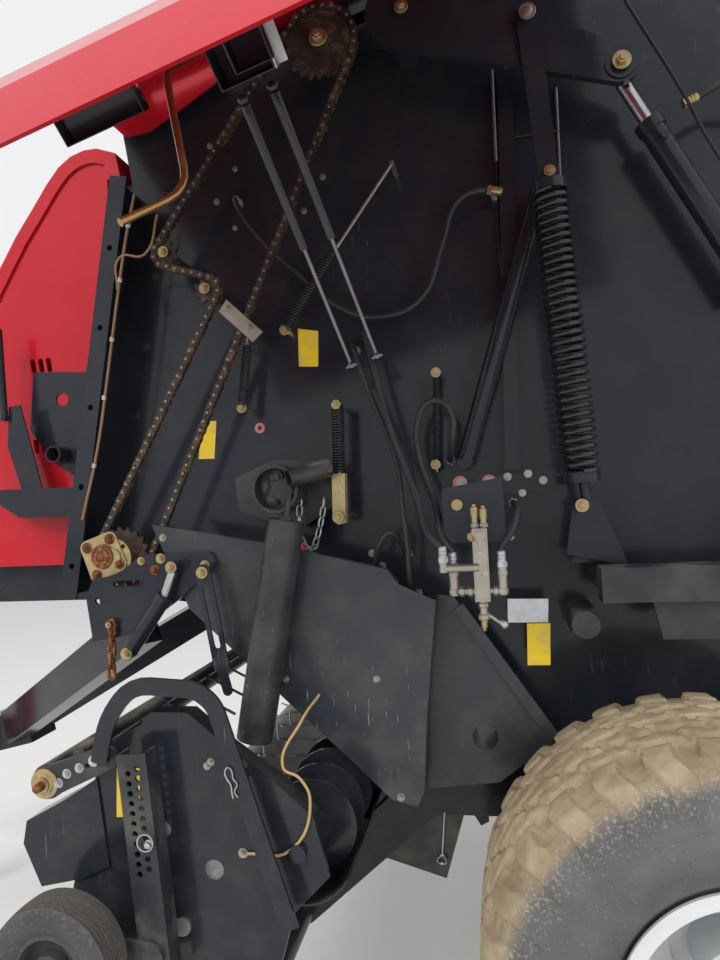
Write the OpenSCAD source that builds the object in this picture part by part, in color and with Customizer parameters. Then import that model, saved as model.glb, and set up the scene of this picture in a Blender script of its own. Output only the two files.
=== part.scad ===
// Round baler with a variable chamber, standing on its wheels and its parking jack.
// All places are measured in the machine frame: x forwards from the wheel axle,
// y to the left from the centreline, z up from the ground. The finished part is
// moved so that its origin is the centre of the hitch eye.

/* [Chamber] */
// Clear width between the two chamber walls
chamber_w = 1200; // [1150:10:1240]
// Thickness of a chamber wall
wall_t = 6; // [5:1:8]
// Height of the flat part of the roof
roof_z = 2975; // [2950:5:3000]
// Slope of the roof and of the door hinges, in degrees
roof_slope = 15.4; // [15:0.1:15.8]

/* [Wheels] */
// Outer radius of a tyre
tyre_r = 475; // [460:5:490]
// Width of a tyre
tyre_w = 490; // [460:5:510]
// Distance between the middle planes of the two tyres
track_w = 1970; // [1950:5:2000]
// Outer radius of a rim's flange
rim_r = 236; // [226:1:246]
// Radius of an axle spindle
spindle_r = 30; // [26:1:36]
// Thickness of the rim's disc
disc_t = 12; // [10:1:16]
// Pitch circle radius of the wheel studs
stud_circle_r = 102.5; // [95:0.5:110]

/* [Hitch] */
// Distance from the axle forwards to the hitch eye
hitch_x = 2860; // [2800:10:2950]
// Height of the hitch eye above the ground
hitch_z = 480; // [440:5:520]
// Radius of the hole in the hitch eye
eye_bore_r = 25; // [20:0.5:27]
// Height of the hitch eye's ring
eye_h = 40; // [30:1:50]
// Radius of the drive stub at the gearbox
stub_r = 17.5; // [15:0.5:20]

/* [Pickup] */
// Width of the pickup between its side plates
pickup_w = 2140; // [2100:10:2160]
// Radius of the circle that the tine tips run on
tine_tip_r = 205; // [195:1:208]
// Radius of the stripper bands
band_r = 160; // [150:1:170]
// Number of tine bars
tine_bars = 5; // [4:1:6]
// Number of tines on one bar
tines_per_bar = 16; // [12:1:24]

/* [Side doors] */
// Width of a door from its hinge to its lower edge
door_w = 1220; // [1190:1:1240]
// Angle by which the left door stands open
door_open = 40.2; // [38:0.1:42]
// Depth of a door's bulge
door_bulge = 86; // [80:1:90]

/* [Tailgate] */
// Gap between the tailgate and the front walls
split_gap = 8; // [6:1:14]
// Number of belts
belt_count = 5; // [4:1:6]
// Thickness of a belt
belt_t = 7; // [5:1:9]

/* [Hidden] */
$fn = 48;
eps = 0.01;

slate = [0.16, 0.18, 0.21];
red = [0.72, 0.06, 0.08];
zinc = [0.72, 0.62, 0.38];
bright = [0.75, 0.76, 0.78];
rubber_grey = [0.2, 0.2, 0.2];

half_w = chamber_w / 2;
wall_y = half_w + wall_t;
// Space left where one piece is seated on another
seat_gap = 0.3;
// Plane in which the drive chain runs
chain_y = wall_y + 114;
// Plane of the tension arms' outer faces
arm_y = wall_y + 150;
split_x = -330;

// Moves the machine frame so that the hitch eye is at the origin
module place() translate([-hitch_x, 0, -hitch_z]) children();

// Repeats what it holds on the other side of the centreline
module both_sides() {
    children();
    mirror([0, 1, 0]) children();
}

// Plate in the upright lengthwise plane: outline of [x, z] points, from y upwards by t
module slab(outline, y, t) translate([0, y + t, 0]) rotate([90, 0, 0]) linear_extrude(t) polygon(outline);

// The same for any flat shape that is drawn with z as its second axis
module raise(y, t) translate([0, y + t, 0]) rotate([90, 0, 0]) linear_extrude(t) children();

// Disc or shaft across the machine, about the point [x, z], from y to y + t
module across(at, r, y, t) translate([at[0], y, at[1]]) rotate([-90, 0, 0]) cylinder(h = t, r = r);

// Round bar between two points in space
module rod(a, b, r, sides = 24) {
    d = b - a;
    translate(a) rotate([0, acos(d[2] / norm(d)), atan2(d[1], d[0])])
        cylinder(h = norm(d), r = r, $fn = sides);
}

// Flat bar of two circles and their common tangents, in the plane of x and z
module bar2d(a, ra, b, rb) {
    d = b - a;
    turn = atan2(d[1], d[0]);
    lean = acos((ra - rb) / norm(d));
    polygon([for (p = [[a, ra, lean], [b, rb, lean], [b, rb, -lean], [a, ra, -lean]])
        p[0] + (p[1] - 0.05) * [cos(turn + p[2]), sin(turn + p[2])]]);
    translate(a) circle(ra);
    translate(b) circle(rb);
}

// Rectangular beam between two points in one upright plane, centred across at y
module beam(a, b, high, wide, y) {
    d = b - a;
    translate([a[0], y - wide / 2, a[1]]) rotate([0, -atan2(d[1], d[0]), 0])
        translate([0, 0, -high / 2]) cube([norm(d), wide, high]);
}

// Outline of a strip that follows a path of [x, z] points, half its thickness on each side
function left_of(d) = [-d[1], d[0]] / norm(d);
function mitre(path, k) = let (i = max(k, 1), j = min(k, len(path) - 2),
    a = left_of(path[i] - path[i - 1]), b = left_of(path[j + 1] - path[j])) (a + b) / (1 + a * b);
function ribbon(path, half) = concat([for (k = [0 : len(path) - 1]) path[k] + half * mitre(path, k)],
    [for (k = [len(path) - 1 : -1 : 0]) path[k] - half * mitre(path, k)]);

// The same path with its inner corners rounded over a reach
function rounded(a, b, c, reach) = let (r = min(reach, norm(a - b) * 0.45, norm(c - b) * 0.45),
    p = b + r * (a - b) / norm(a - b), q = b + r * (c - b) / norm(c - b))
    [for (t = [0 : 0.25 : 1]) (1 - t) * ((1 - t) * p + t * b) + t * ((1 - t) * b + t * q)];
function eased(path, reach) = concat([path[0]],
    [for (k = [1 : len(path) - 2]) each rounded(path[k - 1], path[k], path[k + 1], reach)], [path[len(path) - 1]]);

// Points at even steps along a closed path
function run_lengths(path) = let (n = len(path))
    [for (k = 0, s = 0; k <= n; s = s + norm(path[(k + 1) % n] - path[k % n]), k = k + 1) s];
function evenly(path, pitch) = let (n = len(path), s = run_lengths(path), count = 2 * round(s[n] / pitch),
    xs = [for (k = [0 : n]) [s[k], path[k % n][0]]], zs = [for (k = [0 : n]) [s[k], path[k % n][1]]])
    [for (k = [0 : count - 1]) [lookup(s[n] * k / count, xs), lookup(s[n] * k / count, zs)]];
// Closed outline beside a closed path, at one distance at even points and at another at odd ones
function scalloped(path, even, odd) = let (n = len(path)) [for (k = [0 : n - 1])
    path[k] + (k % 2 == 0 ? even : odd) * left_of(path[(k + 1) % n] - path[(k + n - 1) % n])];

// Smooth line through points in space, and a hose along it
function between(a, b, c, d, t) = 0.5 * (2 * b + (c - a) * t + (2 * a - 5 * b + 4 * c - d) * t * t
    + (3 * b - a - 3 * c + d) * t * t * t);
function through(p, steps) = concat([for (k = [0 : len(p) - 2], s = [0 : steps - 1])
    between(p[max(k - 1, 0)], p[k], p[k + 1], p[min(k + 2, len(p) - 1)], s / steps)], [p[len(p) - 1]]);
hose_sides = 8;
// Part of u across the direction d, with length 1
function square_to(u, d) = let (w = u - (u * d) / (d * d) * d) w / norm(w);
module hose(points, r, steps = 4) {
    line = through(points, steps);
    n = len(line);
    heading = [for (k = [0 : n - 1]) line[min(k + 1, n - 1)] - line[max(k - 1, 0)]];
    aside = [for (k = 0, u = square_to([0.3, 0.4, 0.87], heading[0]); k < n; k = k + 1,
        u = square_to(u, heading[min(k, n - 1)])) square_to(u, heading[k])];
    rings = [for (k = [0 : n - 1]) let (v = cross(aside[k], heading[k]) / norm(heading[k]))
        for (j = [0 : hose_sides - 1]) line[k] + r * (cos(j * 45) * aside[k] + sin(j * 45) * v)];
    sides = [for (k = [0 : n - 2], j = [0 : hose_sides - 1]) let (a = k * hose_sides + j,
        b = k * hose_sides + (j + 1) % hose_sides)
        each [[a, b, b + hose_sides], [a, b + hose_sides, a + hose_sides]]];
    ends = [[for (j = [hose_sides - 1 : -1 : 0]) j], [for (j = [0 : hose_sides - 1]) (n - 1) * hose_sides + j]];
    polyhedron(rings, concat(sides, ends));
}

// Direction in which a band runs from one pulley to the next: pulleys are [x, z, r, side],
// side +1 for a pulley inside the loop and -1 for one outside it
function run_turn(p, q) = let (d = [q[0] - p[0], q[1] - p[1]])
    atan2(d[1], d[0]) - asin((q[3] * q[2] - p[3] * p[2]) / norm(d));

function after(a, b) = b < a ? after(a, b + 360) : (b - a >= 360 ? after(a, b - 360) : b);
function before(a, b) = b > a ? before(a, b - 360) : (a - b >= 360 ? before(a, b + 360) : b);

// Closed outline of a band on its pulleys, moved outwards by off
function band_loop(pulleys, off, steps = 12) = let (n = len(pulleys)) [for (i = [0 : n - 1])
    let (p = pulleys[i], s = p[3], r = p[2] + s * off,
        into = run_turn(pulleys[(i + n - 1) % n], p) - s * 90,
        out = run_turn(p, pulleys[(i + 1) % n]) - s * 90,
        last = s > 0 ? after(into, out) : before(into, out))
    for (k = [0 : steps]) let (a = into + (last - into) * k / steps)
        [p[0] + r * cos(a), p[1] + r * sin(a)]];

// Outline of the chamber walls in front of the split
post_foot = [1590, 1180];
post_head = [1385, 2330];
roof_bend = 70;
roof_t = 12;
function roof_at(x) = min(roof_z, roof_z - (x - roof_bend) * tan(roof_slope));
roof_front = 1430;
under_roof = roof_t + seat_gap;
wall_outline = [post_foot, post_head, [roof_front - 10, roof_at(roof_front - 10) - 40],
    [roof_front - 50, roof_at(roof_front - 50) - under_roof],
    [roof_bend, roof_z - under_roof], [-180, roof_z - under_roof], [split_x, roof_z - 90], [split_x, 620],
    [-250, 560], [820, 560], [860, 780], [1000, 1040], [1200, 1130]];

// Front post and its neighbours
post_w = 50;
post_t = 6;
post_y = wall_y + 134;
channel_w = 38;
channel_d = 34;

module side_walls() color(slate) place() both_sides() wall_with_posts();

module wall_with_posts() {
    difference() {
        slab(wall_outline, half_w, wall_t);
        across(pickup_pivot, pivot_r + 0.05, half_w - 1, wall_t + 2);
        across(gate_hinge, gate_pin_r + 0.05, half_w - 1, wall_t + 2);
    }
    post();
    beam([348, 1465], [311, 2505], channel_w, channel_d, wall_y + channel_d / 2);
    beam([1330, roof_at(1330) - 50], [roof_bend, roof_z - 50], 50, 30, wall_y + 15);
    across(gate_hinge, gate_pin_r, half_w - 20, gate_ear_y + 28 - half_w);
    across(gate_foot, gate_pin_r, wall_y - eps, gate_ram_y + 40 - wall_y);
}

module post() {
    lean = post_head - post_foot;
    turn = atan2(lean[1], lean[0]);
    translate([post_foot[0], 0, post_foot[1]]) rotate([0, -turn, 0]) difference() {
        union() {
            translate([0, wall_y - eps, 0]) cube([norm(lean), post_y - wall_y, post_t]);
            translate([0, post_y - post_t, 0]) cube([norm(lean), post_t, post_w]);
        }
        for (along = [90 : 220 : norm(lean) - 100])
            translate([along, post_y + 1, post_w / 2]) rotate([90, 0, 0]) cylinder(h = post_t + 2, r = 8);
    }
}

// Chassis: what ties the walls together and carries the axle
axle_z = tyre_r;
axle_box = 110;
module chassis() color(slate) place() {
    translate([-axle_box / 2, -track_w / 2 + tyre_w / 2 + 40, axle_z - axle_box / 2])
        cube([axle_box, track_w - tyre_w - 80, axle_box]);
    both_sides() {
        translate([-160, half_w - 120, axle_z - axle_box / 2]) cube([320, 16, 150]);
        translate([-160, half_w - 120, 545]) cube([320, 120 - eps, 30]);
        rod([0, 700, axle_z], [0, track_w / 2 + 20, axle_z], spindle_r, 48);
    }
    for (p = [[1500, 1180, 110], [1400, 2330, 70], [-120, 2880, 60]])
        translate([p[0] - p[2] / 2, -half_w + eps, p[1] - p[2] / 2]) cube([p[2], chamber_w - 2 * eps, p[2]]);
    both_sides() beam([1445, 1205], [1960, 1205], 110, 60, half_w - 40);
    translate([1900, -half_w + 30, 1150]) cube([60, chamber_w - 60, 110]);
}

// Drawbar with its eye
neck = [2260, 600];
module drawbar() color(slate) place() {
    difference() {
        union() {
            both_sides() rod_beam([1450, half_w - 70, 1065], [neck[0], 70, neck[1]], 120, 80);
            rod_beam([neck[0] - 60, 0, neck[1]], [hitch_x - 150, 0, hitch_z], 130, tongue_w);
            rod_beam([hitch_x - 190, 0, hitch_z], [hitch_x - 20, 0, hitch_z], eye_h, 70);
            translate([hitch_x, 0, hitch_z - eye_h / 2]) cylinder(h = eye_h, r = eye_bore_r + 30);
        }
        translate([hitch_x, 0, hitch_z - eye_h]) cylinder(h = 2 * eye_h, r = eye_bore_r);
    }
    both_sides() translate([1430, half_w - 110, 1070]) cube([130, 80, 54.9]);
}

// Box beam between two points in space, upright
module rod_beam(a, b, high, wide) {
    d = b - a;
    flat = norm([d[0], d[1]]);
    translate(a) rotate([0, 0, atan2(d[1], d[0])]) rotate([0, -atan2(d[2], flat), 0])
        translate([0, -wide / 2, -high / 2]) cube([norm(d), wide, high]);
}

// Parking jack on the left of the tongue
jack_at = [2440, 165];
jack_r = 38;
jack_leg_r = 30;
jack_bottom = 470;
jack_top = 1040;
leg_top = 570;
tongue_w = 150;
foot_r = 80;
foot_t = 10;
module jack_tube() color(red) place() translate([jack_at[0], jack_at[1], 0]) {
    difference() {
        translate([0, 0, jack_bottom]) cylinder(h = jack_top - jack_bottom, r = jack_r);
        translate([0, 0, jack_bottom - 1]) cylinder(h = jack_top - jack_bottom - 9, r = jack_leg_r + 0.06);
    }
    translate([-30, tongue_w / 2 - jack_at[1], 520]) cube([60, jack_at[1] - tongue_w / 2 - jack_r + 4, 80]);
    translate([0, 0, jack_top]) rotate([0, 90, 0]) translate([0, 0, -20]) cylinder(h = 150, r = 10);
}

module jack_leg() color(bright) place() translate([jack_at[0], jack_at[1], 0]) {
    translate([0, 0, foot_t]) cylinder(h = leg_top - foot_t, r = jack_leg_r);
    cylinder(h = foot_t, r = foot_r);
}

// Gearbox with its drive stub, and the cross shaft to the chain
shaft_at = [1405, 1285];
module gearbox() color(slate) place() {
    translate([1470, -150, 1235]) cube([260, 300, 235]);
    rod([1729, 0, 1330], [1745, 0, 1330], 90);
    rod([1729, 0, 1330], [1790, 0, 1330], 55);
    rod([1780, 0, 1330], [1870, 0, 1330], stub_r, 48);
}

flange_y = chain_y + 40;
shaft_r = 25;
module cross_shaft() color(zinc) place() {
    difference() {
        raise(flange_y, 12) translate(shaft_at) difference() {
            union() {
                circle(52);
                translate([-10, -52]) square([66, 104]);
            }
            for (bolt = [[38, 36], [38, -36], [-30, 30], [-30, -30]]) translate(bolt) circle(6);
        }
        across(shaft_at, shaft_r - eps, flange_y - 1, 20);
    }
    across(shaft_at, shaft_r, wall_y, flange_y + 20 - wall_y);
}

// Front box with its slotted red sides, and the curved hood above it
beam_top = 1260;
box_top = 2010;
box_outline = [[1582, beam_top], [1900, beam_top], [1900, box_top], [1451, box_top], [1451, 2000]];
module front_box() color(red) place() {
    both_sides() difference() {
        slab(box_outline, half_w + 20, 14);
        for (z = [1850, 1612], k = [0 : 2])
            raise(half_w + 10, 40) bar2d([1664 + 26 * k, z - 14], 8, [1668 + 26 * k, z + 14], 8);
    }
    both_sides() translate([1600, half_w - 70, beam_top]) cube([280, 92, 12]);
    translate([1886, -half_w - 20, 1440]) cube([14, chamber_w + 40, 520]);
    for (z = [1560, 1840]) translate([1899, -half_w + 60, z]) cube([8, chamber_w - 120, 30]);
}

hood_outline = [[1454, box_top], [1880, box_top], [1862, 2080], [1811, 2161], [1760, 2240], [1703, 2314], [1650, 2385],
    [1610, 2430], [1570, 2457], [1525, 2470], [1484, 2470], [1425, 2448], [1412, 2373],
    [1454, 2373]];
module front_hood() color(red) place() {
    raise(-half_w - 34, chamber_w + 68) difference() {
        polygon(hood_outline);
        offset(delta = -8) polygon(hood_outline);
        translate([1466, 1990]) square([404, 60]);
    }
    both_sides() difference() {
        slab(hood_outline, half_w + 20, 14 + eps);
        raise(half_w + 34 - 8, 20) offset(delta = -40) polygon(hood_outline);
    }
}

roof_edge = wall_y + 78;
module roof() color(red) place() {
    slab([[roof_front, roof_at(roof_front) - roof_t], [roof_front, roof_at(roof_front)], [roof_bend, roof_z], [-180, roof_z],
        [-180, roof_z - roof_t], [roof_bend, roof_z - roof_t]], -roof_edge, 2 * roof_edge);
    both_sides() slab([[1090, roof_at(1090) - roof_t + eps], [roof_front, roof_at(roof_front) - roof_t + eps],
        for (p = [[-10, 67], [-45, 32], [-120, 37], [-230, 92], [-330, 147]])
            [roof_front + p[0], roof_at(roof_front) - 148 + p[1]]], wall_y + 34, 5);
    both_sides() door_frame(0) for (x = knuckle_places) {
        rod([x - 70, 0, 0], [x + 70, 0, 0], hinge_pin_r);
        for (dx = [-70, 50]) translate([x + dx, -16, -8]) cube([20, 18, 32]);
    }
}

// Lower shields, with the steps that they have between the door and the pickup
shield_y = wall_y + 190;
shield_outline = [[1275, 1370], [950, 1307], [664, 1236], [637, 1199], [549, 1158], [585, 878],
    [600, 700], [618, 665], [679, 680], [712, 712], [755, 754], [937, 921], [1180, 1150]];
rear_shield_y = wall_y + 90;
rear_outline = [[549, 1158], [512, 1151], [276, 796], [422, 688], [600, 668], [585, 878]];
module lower_shields() color(slate) place() both_sides() {
    slab(shield_outline, shield_y, 5);
    slab(rear_outline, rear_shield_y, 5);
    slab(ribbon([[1272, 1366], [950, 1304], [664, 1233], [640, 1200]], 2.5), shield_y - 26, 30);
    slab(ribbon([[552, 1155], [587, 878], [602, 700]], 2.5), rear_shield_y, shield_y - rear_shield_y + 4);
    slab(ribbon([[604, 702], [679, 683], [712, 715], [755, 757], [937, 924], [1180, 1153]], 2.5), shield_y - 20, 24);
    beam([500, 1128], [284, 804], 26, 14, rear_shield_y + 11);
    for (p = [[1180, 1240], [700, 1120]]) across(p, 14, wall_y, shield_y - wall_y + 1);
    across([450, 850], 14, wall_y, rear_shield_y - wall_y + 1);
    intersection() {
        translate([451, rear_shield_y - 26.7, 800]) sphere(45.3);
        across([451, 800], 33, rear_shield_y + 4, 20);
    }
}

// Beam above each wheel, with its rubber stop
module side_beams() color(slate) place() both_sides() {
    translate([-520, wall_y + 150, 1149]) cube([690, 80, 78]);
    for (x = [120, -200]) translate([x, wall_y, 1160]) cube([40, 151, 50]);
    slab([[-90, 1160], [-90, 1060], [40, 1060], [60, 1160]], wall_y + 190, 8);
    rod([203, wall_y + 130, 1090], [203, wall_y + 175, 1090], 32);
    translate([175, wall_y, 1060]) cube([56, 131, 60]);
}

// Belt tension arms on the walls
arm_pivot = [560, 2630];
arm_end = [49, 2409];
link_top = [258, 2554];
spring_top = [226, 2125];
spring_foot = [190, 1447];
anchor_at = [181, 1368];
module tension_arms() color(slate) place() both_sides() {
    raise(arm_y - 20, 20) bar2d(arm_pivot, 95, arm_end, 44);
    across(arm_pivot, 60, wall_y, arm_y - 19 - wall_y);
    across(arm_end, 22, arm_y - 60, 75);
    across(arm_end, 36, arm_y - eps, 5);
    across(link_top, 20, arm_y - eps, 26);
}

module spring_links() color(slate) place() both_sides() {
    raise(arm_y + 2, 10) difference() {
        bar2d(link_top, 26, spring_top + [3, 40], 24);
        translate(link_top) circle(20.3);
    }
    spring_cap(spring_top, spring_way);
}

// Plate that closes one end of a main spring
spring_way = (spring_top - spring_foot) / norm(spring_top - spring_foot);
module spring_cap(at, way) rod(lift3(at, arm_y - 6), lift3(at + 24 * way, arm_y - 6), 42);

spring_r = 45;
wire_r = 6.5;
spring_turns = 35;
module main_springs() color(rubber_grey) place() both_sides() {
    a = [spring_top[0], arm_y - 6, spring_top[1]];
    b = [spring_foot[0], arm_y - 6, spring_foot[1]];
    d = b - a;
    translate(a) rotate([0, acos(d[2] / norm(d)), atan2(d[1], d[0])]) {
        pitch = norm(d) / spring_turns;
        rotate_extrude() {
            for (k = [0 : spring_turns - 1]) translate([spring_r - wire_r, (k + 0.5) * pitch]) circle(wire_r, $fn = 16);
            translate([spring_r - wire_r - 4, 0]) square([4, norm(d)]);
        }
    }
}

module spring_anchors() color(slate) place() both_sides() {
    spring_cap(spring_foot, -spring_way);
    rod([spring_foot[0], arm_y - 6, spring_foot[1] - 1], [anchor_at[0], arm_y - 6, anchor_at[1]], 12);
    slab([[anchor_at[0] - 30, anchor_at[1] + 12], [anchor_at[0] + 28, anchor_at[1] + 12], [232, 1250], [88, 1217]],
        wall_y + 100, 12);
    translate([120, wall_y, 1228]) cube([100, 101, 14]);
    rod([anchor_at[0], wall_y + 90, anchor_at[1]], [anchor_at[0], arm_y + 10, anchor_at[1]], 14);
}

ram_foot = [-225, 1870];
slim_top = [244, 2159];
slim_foot = [465, 1492];
module tension_cylinders() color(bright) place() both_sides() {
    d = (ram_foot - arm_end) / norm(ram_foot - arm_end);
    neck_at = arm_end + 140 * d;
    rod(lift3(arm_end + 24 * d, arm_y - 50), lift3(neck_at, arm_y - 50), 17);
    rod(lift3(neck_at, arm_y - 50), lift3(ram_foot, arm_y - 50), 30);
    rod(lift3(neck_at, arm_y - 50), lift3(neck_at + 26 * d, arm_y - 50), 34);
    translate(lift3(neck_at + 60 * d, arm_y - 50)) rotate([-90, 0, 0]) cylinder(h = 44, r = 9);
    across(ram_foot, 20, wall_y, 100);
    rod(lift3(slim_foot, wall_y + 62), lift3(slim_top, wall_y + 62), 24);
    across(slim_foot, 18, wall_y, 80);
    across(slim_top, 18, wall_y, 60);
}

function lift3(p, y) = [p[0], y, p[1]];

// Chain drive on the left wall
top_sprocket = [781, 2609];
loop_pulleys = [[1405, 1285, 77, 1], [1126, 1991, 34, -1], [1239, 2102, 34, 1], [781, 2609, 93, 1]];
chain_pitch = 25.4;
plate_high = 10.5;
plate_waist = 8;
chain_line = evenly(band_loop(loop_pulleys, 0), chain_pitch);
module drive_chain() color([0.35, 0.25, 0.2]) place() raise(chain_y - 9, 18) difference() {
    polygon(scalloped(chain_line, -plate_high, -plate_waist));
    polygon(scalloped(chain_line, plate_high, plate_waist));
}

// Toothed wheel, cut away where the chain lies on it
module sprocket_outline(p, bore) difference() {
    teeth = round(2 * PI * p[2] / chain_pitch);
    translate([p[0], p[1]]) polygon([for (k = [0 : 4 * teeth - 1]) let (a = 90 * k / teeth)
        (p[2] + [-8, -2, 6, -2][k % 4]) * [cos(a), sin(a)]]);
    translate([p[0], p[1]]) circle(bore);
    difference() {
        polygon(band_loop(loop_pulleys, plate_high + 0.6));
        polygon(band_loop(loop_pulleys, -plate_high - 0.6));
    }
}
module chain_sprockets() color(slate) place() for (p = loop_pulleys) {
    at = [p[0], p[1]];
    hub = p[2] > 50 ? 26 : 12;
    if (at == shaft_at) raise(chain_y - 5, 10) sprocket_outline(p, shaft_r + seat_gap);
    else {
        raise(chain_y - 5, 10) sprocket_outline(p, hub - 1);
        across(at, hub, wall_y, chain_y + 18 - wall_y);
        if (p[2] > 50) across(at, 56, chain_y + 5 - eps, 4);
    }
}

module chain_tensioner() color(zinc) place() {
    slab([[1065, 1954], [1087, 1924], [998, 1835], [969, 1859]], chain_y + 14, 6);
    across([1066, 1930], 9, wall_y, chain_y + 26 - wall_y);
    across([1007, 1875], 9, chain_y + 12, 14);
}

clevis_pin = [791, 1366];
module small_springs() color(bright) place() {
    rod([777, wall_y + 74, 2073], [925, wall_y + 74, 1873], 15);
    rod([748, wall_y + 74, 2104], [613, wall_y + 74, 2283], 5);
    rod([1034, wall_y + 74, 1842], [1057, wall_y + 74, 1672], 13);
    rod([784, wall_y + 110, 1655], [788, wall_y + 110, 1481], 17);
    rod([528, wall_y + 34, 1725], [541, wall_y + 34, 1488], 12);
    for (p = [[925, 1873], [613, 2283], [1034, 1842], [1057, 1672], [541, 1488], [528, 1725]])
        across(p, 7, wall_y, 76);
    across([784, 1655], 7, wall_y, 125);
    across(clevis_pin, 11, wall_y, 134);
    for (y = [96, 118]) slab([[770, 1478], [806, 1478], [809, 1358], [795, 1346], [775, 1350]], wall_y + y, 6);
    rod([788, wall_y + 110, 1485], [790, wall_y + 110, 1440], 7);
}

hub_at = [949, 1446];
hub_plate_y = wall_y + 60;
module clutch_hub() color(slate) place() {
    raise(hub_plate_y + 8 - eps, 92) difference() {
        translate(hub_at) circle(62);
        translate(hub_at) circle(54);
    }
    raise(wall_y + 110, 10) translate(hub_at) circle(54 + eps);
    raise(wall_y + 120 - eps, 12) translate(hub_at) {
        circle(27);
        for (k = [0 : 4]) rotate(72 * k + 18) translate([32, 0]) circle(15);
    }
    for (k = [0 : 4]) raise(wall_y + 132 - eps, 9) translate(hub_at) rotate(72 * k + 18) translate([32, 0]) circle(8);
    across(hub_at, 30, wall_y, 111);
    slab([[1090, 1483], [976, 1526], [850, 1516], [822, 1470], [822, 1390], [915, 1334], [1082, 1395]], hub_plate_y, 8);
}

module support_tube() color(slate) place() {
    back = [805, wall_y + 150, 1493];
    open_end = [896, wall_y + 210, 1468];
    top = [896, wall_y + 244, 1368];
    foot = [1002, wall_y + 244, 840];
    down = (foot - top) / norm(foot - top);
    difference() {
        rod(back, open_end, 24);
        rod((back + open_end) / 2, open_end + (open_end - back), 19);
    }
    across([842, 1484], 10, hub_plate_y + 8, 100);
    difference() {
        rod(top, foot, 45);
        rod(top + 5 * down, foot + 5 * down, 41);
    }
    rod([892, wall_y + 207, 1450], top + 2 * down, 6);
    rod(top - 8 * down, top + down, 17);
}

module valve_block() color(zinc) place() {
    translate([418, valve_y, 1165]) cube([34, 40, 165]);
    for (x = [425, 445]) translate([x, valve_y + 20, 1329]) cylinder(h = 44, r = 7.5);
    translate([435, valve_y + 20, 1120]) cylinder(h = 46, r = 9);
    rod([389, valve_y + 20, 1187], [499, valve_y + 20, 1187], 8);
    for (x = [389, 499]) translate([x, valve_y + 20, 1178]) cylinder(h = 62, r = 11);
    rod([440, valve_y + 42, 1243], [520, valve_y + 42, 1243], 9);
    translate([520, valve_y + 42, 1234]) cylinder(h = 22, r = 10);
    rod([435, valve_y + 20, 1140], [396, valve_y + 24, 1112], 4);
}

// Brackets on the wall and on the front post
valve_y = wall_y + 236;
valve_plate = [[518, 1419], [378, 1440], [375, 1298], [516, 1297]];
module wall_brackets() color(slate) place() {
    slab(valve_plate, valve_y - 6, 6);
    slab([[378, 1440 - eps], [518, 1419 - eps], [518, 1424], [378, 1445]], valve_y - 36, 36);
    for (x = [400, 490]) translate([x, wall_y, 1330]) cube([12, valve_y - 6 - wall_y + eps, 60]);
    slab([[440, 1452], [228, 1460], [228, 1410], [440, 1400]], wall_y + 20, 6);
    for (x = [250, 420]) across([x, 1430], 10, wall_y, 20 + eps);
    both_sides() {
        difference() {
            slab(front_plate, half_w + 34, 4);
            across([1625, 1744], 20, half_w + 30, 10);
            across([1625, 1580], 20, half_w + 30, 10);
        }
        raise(half_w + 34, 60) translate([1625, 1580]) difference() {
            circle(24);
            circle(20);
        }
        slab([[1796, 1443], [1794, 1487], [post_at(1482), 1482], [post_at(1400), 1400], [1733, 1403]], wall_y + 90, 5);
        slab([[1794, 1482], [post_at(1477), 1477], [post_at(1482), 1482], [1794, 1487]], wall_y + 60, 35);
        slab([[1754, 1724], [1718, 1727], [1659, 1484], [1723, 1484], [1763, 1609]], wall_y + 90, 5);
        rod([1773, wall_y + 103, 1948], [1764, wall_y + 103, 1690], 11);
        across([1764, 1690], 8, wall_y + 95 - eps, 16);
    }
    difference() {
        translate([628, wall_y, 2640]) cube([88, 74, 78]);
        translate([634, wall_y + 6, 2646]) cube([76, 74, 78]);
    }
}
function post_at(z) = post_foot[0] + (z - post_foot[1]) * (post_head[0] - post_foot[0]) / (post_head[1] - post_foot[1]);
front_plate = [[1715, 1832], [1550, 1818], [1492, 1860], [1484, 1800], [1512, 1650], [1534, 1530], [1600, 1520],
    [1660, 1560], [1733, 1661]];

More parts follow.
